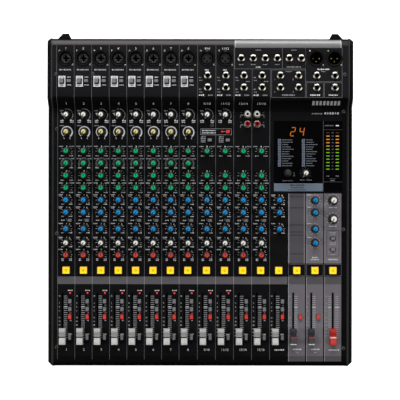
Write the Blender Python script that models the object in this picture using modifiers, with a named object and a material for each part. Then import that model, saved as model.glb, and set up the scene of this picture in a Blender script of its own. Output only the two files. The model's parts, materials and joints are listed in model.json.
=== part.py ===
"""Desktop mixing console with sixteen input channels, as an assembly of separate pieces.

Metres, +Z up, +Y to the rear, +X to the operator's right. The origin is on the desk, under the
middle of the console. Nearly everything is set out on the sloping control panel: a place there is
(x, v, w), where v runs up the slope from the front fold and w stands square out of the panel. The
raised jack panel is parallel to it, and a place there counts v from the riser's top edge.
"""

from math import cos, pi, radians, sin

import bmesh
import bpy
from mathutils import Matrix, Vector

# Case
WIDTH = 0.444
CHEEK_THICKNESS = 0.0062
CHEEK_LIP = 0.0015  # how far the cheeks stand proud of the steel
SLOPE = radians(7)
FRONT_FOLD_Z = 0.0585
FRONT_BEND = 0.008
REAR_BEND = 0.010
CONTROL_LENGTH = 0.370
RISER_RUN = 0.0125
RISER_HEIGHT = 0.014
JACK_LENGTH = 0.0775  # from the riser's top edge to the rear bend
STEEL = 0.0012
GAP = 0.0003  # between pieces that touch or pass through one another
PANEL_FRONT_HEM = 0.020
PANEL_REAR_HEM = 0.096
BEND_STEPS = 6

# Pan, feet and what is on the rear wall
FOOT_HEIGHT = 0.005
FOOT_RADIUS = 0.010
FOOT_INSET_X = 0.037
FOOT_INSET_Y = 0.040
PAN_SIDE_GAP = 0.0033
PAN_FRONT_HEIGHT = 0.035
PAN_REAR_HEIGHT = 0.105
CORNER_CHAMFER = 0.0072
BUMPER_DEPTH = 0.0095
BUMPER_BOTTOM = 0.024
BUMPER_TOP = 0.112
BUMPER_REACH = 0.0278  # across the rear, inwards of the cheek's inner face
BUMPER_PLAN = (0.005, 0.0136, 0.0212)  # inner foot to the flat back's two ends and the outer foot
BUMPER_ROOT = 0.004  # how far it runs into the cheek
VENT = (0.0030, 0.030)
VENT_PITCH = 0.008
VENT_COUNT = 14
VENT_MIDDLE = (0.020, 0.060)

# Along the slope: the riser's top edge, the rear bend, and the front fold that centres the whole
RISER_TOP = CONTROL_LENGTH + RISER_RUN
JACK_END = RISER_TOP + JACK_LENGTH
LIP_LEFT_BY_CHAMFER = CHEEK_LIP - max(0, CORNER_CHAMFER - CHEEK_THICKNESS)
FRONT_REACH = FRONT_BEND * (1 - sin(SLOPE)) + LIP_LEFT_BY_CHAMFER
REAR_REACH = JACK_END * cos(SLOPE) - (RISER_HEIGHT - REAR_BEND) * sin(SLOPE) + REAR_BEND
FRONT_FOLD_Y = (FRONT_REACH - REAR_REACH - GAP - BUMPER_DEPTH) / 2

INLET_AT = (-0.150, 0.045)
INLET_BODY = (0.0270, 0.0200, 0.024)
INLET_SOCKET = (0.0235, 0.0160, 0.016)
SWITCH_AT = (-0.105, 0.045)
SWITCH_BODY = (0.0200, 0.0225, 0.018)
SWITCH_WELL = (0.0135, 0.0176, 0.012)
FLANGE_BRIM = 0.0035
FLANGE_THICKNESS = 0.0016
ROCKER_TILT = radians(8)
ROCKER_HALF = 0.0075

# Channel strips
FIRST_STRIP_EDGE = -0.2085
MONO_PITCH = 0.0254
WIDE_PITCH = 0.0264
WIDE_STRIPS_EDGE = -0.0039
MONO_STRIPS = ["ch1", "ch2", "ch3", "ch4", "ch5", "ch6", "ch7", "ch8"]
STEREO_STRIPS = ["ch9_10", "ch11_12", "ch13_14", "ch15_16"]
MASTER_STRIPS = ["fx_return", "group_1_2", "group_3_4", "stereo"]
KNOB_OFFSET = 0.0006
FADER_OFFSET = -0.0051
SWITCH_OFFSET = 0.0055

# Rows of knobs, measured up the slope
EQ_TOP_ROW = 0.3064
ROW_PITCH = 0.01786
KNOB_ROWS = {
    "gain": 0.3593,
    "comp": 0.3345,
    "high": EQ_TOP_ROW,
    "mid_freq": EQ_TOP_ROW - ROW_PITCH,
    "mid": EQ_TOP_ROW - 2 * ROW_PITCH,
    "low": EQ_TOP_ROW - 3 * ROW_PITCH,
    "aux1": EQ_TOP_ROW - 4 * ROW_PITCH,
    "aux2": EQ_TOP_ROW - 5 * ROW_PITCH,
    "aux3": 0.1931,
    "fx": 0.1728,
    "pan": 0.1551,
}
EQ_AND_SENDS = ["high", "mid", "low", "aux1", "aux2", "aux3", "fx", "pan"]
KNOBS_ON = {
    **{strip: list(KNOB_ROWS) for strip in MONO_STRIPS},
    "ch9_10": ["gain", *EQ_AND_SENDS],
    "ch11_12": ["gain", *EQ_AND_SENDS],
    "ch13_14": EQ_AND_SENDS,
    "ch15_16": EQ_AND_SENDS,
    "fx_return": ["aux1", "aux2", "aux3"],
}
TURNING_STRIP = "ch1"  # every control of this strip is a piece of its own
CENTRE_DETENT = ("high", "mid", "low", "pan")  # these rest pointing up the slope
FULLY_DOWN = radians(150)  # the others rest turned this far back from there
KNOB_TRAVEL_CLEARANCE = 0.0008
KNOB_HEIGHT = 0.0155
KNOB_SKIRT = 0.0058
KNOB_CROWN = 0.0040
LARGE_KNOB_HEIGHT = 0.0170
LARGE_KNOB_SKIRT = 0.0072
LARGE_KNOB_CROWN = 0.0050
KNOB_SIDES = 10
SHAFT_RADIUS = 0.0030
KNOB_POST_RADIUS = 0.0049
KNOB_HOLE_CLEARANCE = 0.0004
PHONES_ROW = 0.2080
COLOURS = {
    "gain": "white", "comp": "yellow", "high": "green", "mid_freq": "green", "mid": "green",
    "low": "green", "aux1": "blue", "aux2": "blue", "aux3": "blue", "fx": "white", "pan": "red",
}

# Push switches: row on their panel, offset from the strip's middle, width and length of the cap
SWITCH_KINDS = {
    "aux_pre": (0.2053, 0.0050, 0.0056, 0.0042),
    "group_1_2": (0.0870, SWITCH_OFFSET, 0.0046, 0.0060),
    "group_3_4": (0.0755, SWITCH_OFFSET, 0.0046, 0.0060),
    "to_stereo": (0.0644, SWITCH_OFFSET, 0.0046, 0.0066),
    "listen": (0.0341, 0.0053, 0.0042, 0.0070),
    "on": (0.1324, 0.0, 0.0104, 0.0104),
    "pad": (0.0255, -0.0059, 0.0058, 0.0060),
    "jack_low_cut": (0.0255, 0.0048, 0.0058, 0.0042),
    "low_cut": (0.3229, 0.0045, 0.0058, 0.0042),
    "phantom": (0.3352, 0.0047, 0.0058, 0.0048),
    "monitor_source": (0.1792, 0.0, 0.0060, 0.0040),
    "monitor_mute": (0.1631, 0.0, 0.0060, 0.0040),
}
ON_THE_JACK_PANEL = ("pad", "jack_low_cut")
ROUTING = ["aux_pre", "on", "group_1_2", "group_3_4", "to_stereo", "listen"]
SWITCHES_ON = {
    **{strip: ["pad", "jack_low_cut", *ROUTING] for strip in MONO_STRIPS},
    "ch9_10": ["low_cut", *ROUTING],
    "ch11_12": ["low_cut", "phantom", *ROUTING],
    "ch13_14": ROUTING,
    "ch15_16": ROUTING,
    "fx_return": ROUTING[1:],
    "group_1_2": ["on", "to_stereo"],
    "group_3_4": ["on", "to_stereo"],
    "stereo": ["on", "monitor_source", "monitor_mute"],
}
SWITCH_TOP = 0.0030
ON_TOP = 0.0036
SWITCH_CLEARANCE = 0.0003
SWITCH_FOOT = -0.0060  # underside of a travelling cap
SWITCH_TRAVEL = 0.0016

# Faders
FADER_REST_ROW = 0.0357
FADER_TRAVEL = 0.060
FADER_CAP = (0.0096, 0.0237, 0.0105)
FADER_CAP_BOTTOM = 0.0012
FADER_DIP = 0.0022
LEVER = (0.0012, 0.0040)
LEVER_FOOT = -0.0090
LEVER_SIDE_ROOM = 0.0005
LEVER_END_ROOM = 0.0023
TRACK = (0.0090, 0.0075)
TRACK_END_WALL = 0.0067
TRACK_SLOT_FLOOR = -0.0120

# Boards
BOARD = 0.0016
BOARD_TOP = -0.0140
BOARD_SIDE_ROOM = 0.0098  # from the cheek's inner face
CONTROL_BOARD_SPAN = (0.126, 0.367)
FADER_BOARD_SPAN = (0.004, 0.1245)
POT_BODY = (0.0095, 0.0060)
SWITCH_BODY_TOP = -0.0080

# Jacks, on the raised panel
XLR_ROW = 0.0585
UPPER_JACK_ROW = 0.0585
MIDDLE_JACK_ROW = 0.0335
LOWER_JACK_ROW = 0.0161
JACK_OFFSET = 0.0013
XLR_OFFSET = 0.0006
SEND_JACK_FIRST = 0.0593
SEND_JACK_PITCH = 0.01745
SEND_JACK_COUNT = 6
JACK_BODY = 0.0120
JACK_BORE = 0.00328  # from the middle to a flat of the bore
JACK_NOSE = 0.0048
JACK_NOSE_TOP = 0.0020
JACK_BORE_FLOOR = -0.0200
JACK_HOLE_CLEARANCE = 0.0004
XLR_SHELL = 0.0116
XLR_HOLE_CLEARANCE = 0.0008
XLR_MOUTH = 0.0093
XLR_RIM_TOP = 0.0010
XLR_FACE = -0.0042
XLR_PIN_FLOOR = -0.0140
XLR_PIN_RADIUS = 0.0012
XLR_PIN_CIRCLE = 0.0047
XLR_SIDES = 12
JACK_BOARD_TOP = -0.0240
JACK_BOARD_SPAN = (0.0060, 0.0745)
PHONO_AT = [(x, v) for v in (0.3606, 0.3463) for x in (0.0690, 0.0829)]
PHONO_SHELL = 0.0042
PHONO_HOLE_CLEARANCE = 0.0006
PHONO_BORE = 0.0017
PHONO_TOP = 0.0085

# Display
WINDOW = (0.1077, 0.2079, 0.2475, 0.3507)
WINDOW_THICKNESS = 0.0020
WINDOW_TOP = 0.0003
DISPLAY_BOARD_TOP = -0.0074
DISPLAY_MARGIN = 0.0013
METER_COLUMNS = (0.1860, 0.2000)
METER_SPAN = (0.2780, 0.3350)
DIGITS = (0.1240, 0.1550, 0.3260, 0.3430)
LAMP_TOP = -0.0023
PROGRAM_KNOB = (0.1281, 0.2746)
PARAMETER_KNOB = (0.1537, 0.2746)
DISPLAY_SHAFT_FOOT = -0.0042
CONTROL_SHAFT_FOOT = -0.0077

# Power supply, standing in the pan
SUPPLY_BOARD = (-0.195, -0.045, 0.130, 0.215)  # x range, then y range
SUPPLY_FLOOR = 0.0120
TRANSFORMER = (0.046, 0.040, 0.034)
HEAT_SINK = (0.070, 0.004, 0.038)
RESERVOIR = (0.011, 0.036)
SUPPLY_POST_RADIUS = 0.003
SUPPLY_POST_INSET = 0.006

STEEL_BLACK = (0.014, 0.014, 0.015, 1)
PLASTIC_BLACK = (0.006, 0.006, 0.006, 1)
CAPS = {
    "white": (0.72, 0.71, 0.66, 1),
    "yellow": (0.68, 0.58, 0.26, 1),
    "green": (0.0, 0.36, 0.14, 1),
    "blue": (0.0, 0.20, 0.53, 1),
    "red": (0.60, 0.03, 0.02, 1),
    "grey": (0.33, 0.33, 0.32, 1),
    "charcoal": (0.035, 0.034, 0.040, 1),
    "dark": (0.02, 0.02, 0.022, 1),
    "lit_yellow": (0.90, 0.68, 0.01, 1),
}


# ---------------------------------------------------------------- Blender helpers


def clear_scene():
    for obj in list(bpy.data.objects):
        bpy.data.objects.remove(obj)
    for collection in (pieces, tools):
        bpy.context.scene.collection.children.link(collection)


def material(name, colour, roughness=0.5, metallic=0.0):
    """One Principled BSDF material, shared by the pieces that name it."""
    found = bpy.data.materials.get(name)
    if found:
        return found
    made = bpy.data.materials.new(name)
    made.use_nodes = True
    shader = made.node_tree.nodes["Principled BSDF"]
    shader.inputs["Base Color"].default_value = colour
    shader.inputs["Roughness"].default_value = roughness
    shader.inputs["Metallic"].default_value = metallic
    made.diffuse_color = colour
    return made


def object_from(bm, name, parent=None, at=(0, 0, 0), finish=None):
    """An object from a bmesh. Without a finish it is a tool: a cutter, or a shape to be joined."""
    mesh = bpy.data.meshes.new(name)
    bm.to_mesh(mesh)
    bm.free()
    return place(mesh, name, parent, at, finish)


def place(mesh, name, parent=None, at=(0, 0, 0), finish=None):
    obj = bpy.data.objects.new(name, mesh)
    obj.parent = parent
    obj.location = at
    if finish:
        pieces.objects.link(obj)
        mesh.materials.clear()
        mesh.materials.append(finish)
        if isinstance(mesh, bpy.types.Mesh):
            mesh.shade_smooth()
            mesh.set_sharp_from_angle(angle=radians(35))
    else:
        tools.objects.link(obj)
        obj.hide_render = True
        obj.display_type = "WIRE"
    return obj


def empty(name, parent=None, at=(0, 0, 0), slope=0.0):
    obj = bpy.data.objects.new(name, None)
    obj.parent = parent
    obj.location = at
    obj.rotation_euler.x = slope
    pieces.objects.link(obj)
    return obj


def baked(obj):
    """The object's mesh with its modifiers applied. The object itself goes."""
    bpy.context.view_layer.update()
    graph = bpy.context.evaluated_depsgraph_get()
    mesh = bpy.data.meshes.new_from_object(obj.evaluated_get(graph))
    bpy.data.objects.remove(obj)
    return mesh


def boolean(obj, other, operation):
    modifier = obj.modifiers.new(operation.title(), "BOOLEAN")
    modifier.operation = operation
    modifier.object = other


def box(bm, low, high):
    """A box between two corners."""
    low, high = Vector(low), Vector(high)
    matrix = Matrix.Translation((low + high) / 2) @ Matrix.Diagonal((*(high - low), 1))
    bmesh.ops.create_cube(bm, size=1, matrix=matrix)


def block(bm, x, y, width, length, bottom, top):
    """A box from its middle in plan, its two sides and its lower and upper faces."""
    box(bm, (x - width / 2, y - length / 2, bottom), (x + width / 2, y + length / 2, top))


def prism(bm, sides, radius, x, y, bottom, top):
    """A regular upright prism, with flats square to x and y. The radius is to its corners."""
    turn = Matrix.Rotation(pi / sides, 4, "Z")
    matrix = Matrix.Translation((x, y, (bottom + top) / 2)) @ turn
    bmesh.ops.create_cone(
        bm, cap_ends=True, segments=sides, radius1=radius, radius2=radius,
        depth=top - bottom, matrix=matrix,
    )


def turned(name, profile, sides):
    """A solid turned about Z from (radius, z) points that run from the top down the outside."""
    bm = bmesh.new()
    corners = [bm.verts.new((radius, 0, z)) for radius, z in profile]
    for a, b in zip(corners, corners[1:]):
        bm.edges.new((a, b))
    obj = object_from(bm, name)
    screw = obj.modifiers.new("Turn", "SCREW")
    screw.steps = screw.render_steps = sides
    screw.use_merge_vertices = True
    screw.merge_threshold = 0.00001
    return obj


def outline_mesh(name, points, thickness):
    """A closed flat outline in its own XY plane, given a thickness about that plane, as a mesh."""
    curve = bpy.data.curves.new(name, "CURVE")
    curve.dimensions = "2D"
    curve.fill_mode = "BOTH"
    curve.extrude = thickness / 2
    spline = curve.splines.new("POLY")
    spline.points.add(len(points) - 1)
    for point, (a, b) in zip(spline.points, points):
        point.co = (a, b, 0, 1)
    spline.use_cyclic_u = True
    obj = place(curve, name)
    mesh = baked(obj)
    bpy.data.curves.remove(curve)
    bm = bmesh.new()
    bm.from_mesh(mesh)
    bmesh.ops.remove_doubles(bm, verts=bm.verts, dist=0.00001)
    bmesh.ops.recalc_face_normals(bm, faces=bm.faces)
    bm.to_mesh(mesh)
    bm.free()
    return mesh


# ---------------------------------------------------------------- the console's own lines


def on_slope(v, w):
    """World (y, z) of a place v up the control panel and w out of it."""
    return (
        FRONT_FOLD_Y + v * cos(SLOPE) - w * sin(SLOPE),
        FRONT_FOLD_Z + v * sin(SLOPE) + w * cos(SLOPE),
    )


def arc(centre, radius, first, last):
    """Points along an arc, between two directions from its centre."""
    angles = [first + (last - first) * n / BEND_STEPS for n in range(BEND_STEPS + 1)]
    return [(centre[0] + radius * cos(a), centre[1] + radius * sin(a)) for a in angles]


def front_bend_centre():
    return on_slope(0, -FRONT_BEND)


def rear_bend_centre():
    return on_slope(JACK_END, RISER_HEIGHT - REAR_BEND)


def skin(offset, front_bottom, rear_bottom):
    """Side view (y, z) of the skin, moved out by offset: up the front, over the panels, down the rear."""
    square = pi / 2 + SLOPE
    front = arc(front_bend_centre(), FRONT_BEND + offset, pi, square)
    rear = arc(rear_bend_centre(), REAR_BEND + offset, square, 0)
    flat_way = Vector((0, 1))
    riser_way = Vector((-RISER_HEIGHT, RISER_RUN)).normalized()
    corner = offset * (flat_way + riser_way) / (1 + flat_way.dot(riser_way))
    step = [
        on_slope(CONTROL_LENGTH + corner.x, corner.y),
        on_slope(RISER_TOP + corner.x, RISER_HEIGHT + corner.y),
    ]
    return [(front[0][0], front_bottom), *front, *step, *rear, (rear[-1][0], rear_bottom)]


def strip_middle(strip):
    if strip in MONO_STRIPS:
        return FIRST_STRIP_EDGE + (MONO_STRIPS.index(strip) + 0.5) * MONO_PITCH
    wide = STEREO_STRIPS + MASTER_STRIPS
    return WIDE_STRIPS_EDGE + (wide.index(strip) + 0.5) * WIDE_PITCH


def fader_x(strip):
    return strip_middle(strip) + (0 if strip == "stereo" else FADER_OFFSET)


def fader_slots(bm, bottom, top):
    """A slot for each fader's lever, with room at its sides and past both ends of its travel."""
    width = LEVER[0] + 2 * LEVER_SIDE_ROOM
    for strip in MONO_STRIPS + STEREO_STRIPS + MASTER_STRIPS:
        block(bm, fader_x(strip), FADER_REST_ROW + FADER_TRAVEL / 2, width, slot_length(), bottom, top)


def slot_length():
    return FADER_TRAVEL + LEVER[1] + 2 * LEVER_END_ROOM


def board_half_width():
    return WIDTH / 2 - CHEEK_THICKNESS - BOARD_SIDE_ROOM


def switch_places(kinds):
    """(strip, kind, x, v, width, length) of every push switch of these kinds."""
    for strip, kinds_here in SWITCHES_ON.items():
        for kind in kinds_here:
            if kind in kinds:
                v, offset, width, length = SWITCH_KINDS[kind]
                yield strip, kind, strip_middle(strip) + offset, v, width, length


def knob_places():
    """(strip, row name, x, v) of every channel knob."""
    for strip, rows in KNOBS_ON.items():
        for row in rows:
            yield strip, row, strip_middle(strip) + KNOB_OFFSET, KNOB_ROWS[row]


def master_knobs():
    """Name, x, v, cap colour, whether it is a large one and where its shaft ends."""
    sends = [
        (f"knob_send_{row}", strip_middle("group_3_4"), KNOB_ROWS[row], "blue", False, CONTROL_SHAFT_FOOT)
        for row in ("aux1", "aux2", "aux3", "fx")
    ]
    x = strip_middle("stereo")
    return sends + [
        ("knob_monitor_level", x, KNOB_ROWS["aux1"], "white", True, CONTROL_SHAFT_FOOT),
        ("knob_phones_level", x, PHONES_ROW, "white", True, CONTROL_SHAFT_FOOT),
        ("knob_fx_program", *PROGRAM_KNOB, "dark", False, DISPLAY_SHAFT_FOOT),
        ("knob_fx_parameter", *PARAMETER_KNOB, "white", False, DISPLAY_SHAFT_FOOT),
    ]


def xlr_places():
    """(kind, x) of each XLR socket, all on one row."""
    combos = [("combo", strip_middle(s) + XLR_OFFSET) for s in MONO_STRIPS]
    females = [("female", strip_middle(s) + XLR_OFFSET) for s in STEREO_STRIPS[:2]]
    males = [("male", strip_middle(s) + XLR_OFFSET) for s in ("group_3_4", "stereo")]
    return combos + females + males


def phone_jack_places():
    """(x, v) of each quarter-inch jack."""
    upper = [(SEND_JACK_FIRST + n * SEND_JACK_PITCH, UPPER_JACK_ROW) for n in range(SEND_JACK_COUNT)]
    columns = [strip_middle(s) + JACK_OFFSET for s in STEREO_STRIPS + MASTER_STRIPS]
    return upper + [(x, v) for v in (MIDDLE_JACK_ROW, LOWER_JACK_ROW) for x in columns]


# ---------------------------------------------------------------- case


def top_panel(control_plane, jack_plane, finish):
    """One folded steel sheet: front face, control panel, riser, jack panel and rear bend."""
    half = WIDTH / 2 - CHEEK_THICKNESS - GAP
    bm = bmesh.new()
    line = [bm.verts.new((half, y, z)) for y, z in skin(0, PANEL_FRONT_HEM, PANEL_REAR_HEM)]
    edges = [bm.edges.new(pair) for pair in zip(line, line[1:])]
    far = bmesh.ops.extrude_edge_only(bm, edges=edges)["geom"]
    far = [g for g in far if isinstance(g, bmesh.types.BMVert)]
    bmesh.ops.translate(bm, verts=far, vec=(-2 * half, 0, 0))
    bmesh.ops.recalc_face_normals(bm, faces=bm.faces)
    if sum(face.normal.z for face in bm.faces) < 0:
        bmesh.ops.reverse_faces(bm, faces=bm.faces)
    panel = object_from(bm, "top_panel", finish=finish)
    solidify = panel.modifiers.new("Sheet", "SOLIDIFY")
    solidify.thickness = STEEL
    solidify.offset = -1
    solidify.use_even_offset = True
    boolean(panel, control_panel_cutter(control_plane), "DIFFERENCE")
    boolean(panel, jack_panel_cutter(jack_plane), "DIFFERENCE")
    return panel


def control_panel_cutter(control_plane):
    """Knob holes, switch holes, fader slots, phono holes and the display opening."""
    deep, high = -0.004, 0.003
    bm = bmesh.new()
    for _, _, x, v in knob_places():
        prism(bm, 6, KNOB_POST_RADIUS + KNOB_HOLE_CLEARANCE, x, v, deep, high)
    for name, x, v, *_ in master_knobs():
        if name not in ("knob_fx_program", "knob_fx_parameter"):
            prism(bm, 6, KNOB_POST_RADIUS + KNOB_HOLE_CLEARANCE, x, v, deep, high)
    kinds = [kind for kind in SWITCH_KINDS if kind not in ON_THE_JACK_PANEL]
    for _, _, x, v, width, length in switch_places(kinds):
        block(bm, x, v, width + 2 * SWITCH_CLEARANCE, length + 2 * SWITCH_CLEARANCE, deep, high)
    fader_slots(bm, deep, high)
    for x, v in PHONO_AT:
        prism(bm, 8, PHONO_SHELL + PHONO_HOLE_CLEARANCE, x, v, deep, high)
    left, right, near, far = WINDOW
    box(bm, (left - GAP, near - GAP, deep), (right + GAP, far + GAP, high))
    return object_from(bm, "control_panel_cutter", control_plane)


def jack_panel_cutter(jack_plane):
    """Round holes for the XLR sockets and jacks, and the pad and low-cut switch holes."""
    deep, high = -0.004, 0.003
    bm = bmesh.new()
    for _, x in xlr_places():
        prism(bm, XLR_SIDES, XLR_SHELL + XLR_HOLE_CLEARANCE, x, XLR_ROW, deep, high)
    for x, v in phone_jack_places():
        prism(bm, 8, JACK_NOSE + JACK_HOLE_CLEARANCE, x, v, deep, high)
    for _, _, x, v, width, length in switch_places(ON_THE_JACK_PANEL):
        block(bm, x, v, width + 2 * SWITCH_CLEARANCE, length + 2 * SWITCH_CLEARANCE, deep, high)
    return object_from(bm, "jack_panel_cutter", jack_plane)


def pan_box():
    """Outer x, front y and rear y of the pan, which sits inside the top panel's hems."""
    half = WIDTH / 2 - CHEEK_THICKNESS - PAN_SIDE_GAP
    front = front_bend_centre()[0] - FRONT_BEND + STEEL + GAP
    rear = rear_bend_centre()[0] + REAR_BEND - STEEL - GAP
    return half, front, rear


def bottom_pan(finish):
    """Open steel tray, lower at the front, with the vents and the mains cut-outs in its rear wall."""
    half, front, rear = pan_box()
    bm = bmesh.new()
    box(bm, (-half, front, FOOT_HEIGHT), (half, rear, 1))
    top = [f for f in bm.faces if f.normal.z > 0.5]
    bmesh.ops.delete(bm, geom=top, context="FACES_ONLY")
    for vert in bm.verts:
        if vert.co.z > 0.5:
            rise = PAN_FRONT_HEIGHT if vert.co.y < 0 else PAN_REAR_HEIGHT
            vert.co.z = FOOT_HEIGHT + rise
    pan = object_from(bm, "bottom_pan", finish=finish)
    solidify = pan.modifiers.new("Sheet", "SOLIDIFY")
    solidify.thickness = STEEL
    solidify.offset = -1
    solidify.use_even_offset = True
    cutter = bmesh.new()
    near, far = rear - 0.005, rear + 0.005
    width, height = VENT
    for n in range(VENT_COUNT):
        x = VENT_MIDDLE[0] + (n - (VENT_COUNT - 1) / 2) * VENT_PITCH
        z = VENT_MIDDLE[1]
        box(cutter, (x - width / 2, near, z - height / 2), (x + width / 2, far, z + height / 2))
    for (x, z), body in ((INLET_AT, INLET_BODY), (SWITCH_AT, SWITCH_BODY)):
        half_x, half_z = body[0] / 2 + GAP, body[1] / 2 + GAP
        box(cutter, (x - half_x, near, z - half_z), (x + half_x, far, z + half_z))
    boolean(pan, object_from(cutter, "pan_cutter"), "DIFFERENCE")
    return pan


def side_cheek(name, side, finish):
    """Moulded end cheek: a plate to the console's side view, and a bumper round the rear corner."""
    line = skin(CHEEK_LIP, FOOT_HEIGHT, FOOT_HEIGHT)
    mesh = outline_mesh(name, line, CHEEK_THICKNESS)
    bm = bmesh.new()
    bm.from_mesh(mesh)
    outer = side * CHEEK_THICKNESS / 2
    rim = [
        e for e in bm.edges
        if all(abs(v.co.z - outer) < 1e-5 for v in e.verts) and len(e.link_faces) == 2
        and abs(e.link_faces[0].normal.dot(e.link_faces[1].normal)) < 0.5
    ]
    bmesh.ops.bevel(bm, geom=rim, offset=0.0022, segments=2, affect="EDGES", profile=0.5)
    bm.to_mesh(mesh)
    bm.free()
    cheek = place(mesh, name, None, (side * (WIDTH - CHEEK_THICKNESS) / 2, 0, 0), finish)
    cheek.rotation_euler = (pi / 2, 0, pi / 2)
    front = line[0][0]
    rear = line[-1][0]
    boolean(cheek, corner_cutter(f"{name}_corners", side, front, rear), "DIFFERENCE")
    boolean(cheek, bumper(f"{name}_bumper", side, rear), "UNION")
    return cheek


def corner_cutter(name, side, front, rear):
    """Two upright blocks, turned by 45 degrees, that take the cheek's outer corners off."""
    bm = bmesh.new()
    reach = 0.040
    for y, way in ((front, -1), (rear, 1)):
        middle = Vector((side * (WIDTH / 2 - CORNER_CHAMFER / 2), y - way * CORNER_CHAMFER / 2, 0.07))
        out = Vector((side, way, 0)).normalized()
        matrix = (
            Matrix.Translation(middle + out * reach / 2)
            @ Matrix.Rotation(pi / 4, 4, "Z")
            @ Matrix.Diagonal((reach, reach, 0.3, 1))
        )
        bmesh.ops.create_cube(bm, size=1, matrix=matrix)
    return object_from(bm, name)


def bumper(name, side, rear):
    """Trapezium in plan, behind the rear hem and run into the cheek."""
    wall = rear - CHEEK_LIP + GAP
    back = wall + BUMPER_DEPTH
    cheek = WIDTH / 2 - CHEEK_THICKNESS
    foot = cheek - BUMPER_REACH
    plan = [
        (side * (cheek + BUMPER_ROOT), wall),
        (side * (cheek + BUMPER_ROOT), rear - GAP),
        (side * (foot + BUMPER_PLAN[2]), rear - GAP),
        (side * (foot + BUMPER_PLAN[1]), back),
        (side * (foot + BUMPER_PLAN[0]), back),
        (side * foot, wall),
    ]
    mesh = outline_mesh(name, plan, BUMPER_TOP - BUMPER_BOTTOM)
    return place(mesh, name, None, (0, 0, (BUMPER_TOP + BUMPER_BOTTOM) / 2))


def feet(finish):
    half, front, rear = pan_box()
    bm = bmesh.new()
    height = FOOT_HEIGHT - GAP
    bmesh.ops.create_cone(
        bm, cap_ends=True, segments=16, radius1=FOOT_RADIUS - 0.001, radius2=FOOT_RADIUS,
        depth=height, matrix=Matrix.Translation((0, 0, height / 2)),
    )
    mesh = bpy.data.meshes.new("foot")
    bm.to_mesh(mesh)
    bm.free()
    for end, y in (("front", front + FOOT_INSET_Y), ("rear", rear - FOOT_INSET_Y)):
        for hand, side in (("left", -1), ("right", 1)):
            place(mesh, f"foot_{end}_{hand}", None, (side * (WIDTH / 2 - FOOT_INSET_X), y, 0), finish)


# ---------------------------------------------------------------- boards


def control_board(control_plane, finish):
    """The board under the knobs, with its pots and switches, and the controls that don't turn."""
    near, far = CONTROL_BOARD_SPAN
    bm = bmesh.new()
    half = board_half_width()
    box(bm, (-half, near, BOARD_TOP - BOARD), (half, far, BOARD_TOP))
    board = object_from(bm, "control_board", control_plane, finish=finish)
    root = BOARD_TOP - BOARD / 2
    posts = bmesh.new()
    for strip, _, x, v in knob_places():
        if strip == TURNING_STRIP:
            block(posts, x, v, POT_BODY[0], POT_BODY[0], root, BOARD_TOP + POT_BODY[1])
        else:
            prism(posts, 6, KNOB_POST_RADIUS, x, v, root, KNOB_HEIGHT)
    for name, x, v, *_ in master_knobs():
        if name not in ("knob_fx_program", "knob_fx_parameter"):
            block(posts, x, v, POT_BODY[0], POT_BODY[0], root, BOARD_TOP + POT_BODY[1])
    kinds = ("aux_pre", "on", "low_cut", "phantom", "monitor_source", "monitor_mute")
    for strip, kind, x, v, width, length in switch_places(kinds):
        top = ON_TOP if kind == "on" else SWITCH_TOP
        if strip == TURNING_STRIP:
            top = SWITCH_BODY_TOP
        block(posts, x, v, width, length, root, top)
    for x, v in PHONO_AT:
        prism(posts, 8, PHONO_SHELL, x, v, root, PHONO_TOP)
    boolean(board, object_from(posts, "control_board_posts", control_plane), "UNION")
    bores = bmesh.new()
    for x, v in PHONO_AT:
        prism(bores, 6, PHONO_BORE, x, v, 0, PHONO_TOP + 0.001)
    boolean(board, object_from(bores, "phono_bores", control_plane), "DIFFERENCE")
    return board


def fader_board(control_plane, finish):
    """The board under the faders: sixteen slide tracks and the routing switches beside them."""
    near, far = FADER_BOARD_SPAN
    bm = bmesh.new()
    half = board_half_width()
    box(bm, (-half, near, BOARD_TOP - BOARD), (half, far, BOARD_TOP))
    board = object_from(bm, "fader_board", control_plane, finish=finish)
    root = BOARD_TOP - BOARD / 2
    posts, slots = bmesh.new(), bmesh.new()
    width, height = TRACK
    length = slot_length() + 2 * TRACK_END_WALL
    top = BOARD_TOP + height
    for strip in MONO_STRIPS + STEREO_STRIPS + MASTER_STRIPS:
        block(posts, fader_x(strip), FADER_REST_ROW + FADER_TRAVEL / 2, width, length, root, top)
    fader_slots(slots, TRACK_SLOT_FLOOR, top + 0.001)
    for strip, _, x, v, cap_width, cap_length in switch_places(
        ("group_1_2", "group_3_4", "to_stereo", "listen")
    ):
        top = SWITCH_BODY_TOP if strip == TURNING_STRIP else SWITCH_TOP
        block(posts, x + GAP, v, cap_width - 2 * GAP, cap_length, root, top)
    boolean(board, object_from(posts, "fader_tracks", control_plane), "UNION")
    boolean(board, object_from(slots, "fader_track_slots", control_plane), "DIFFERENCE")
    return board


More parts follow.
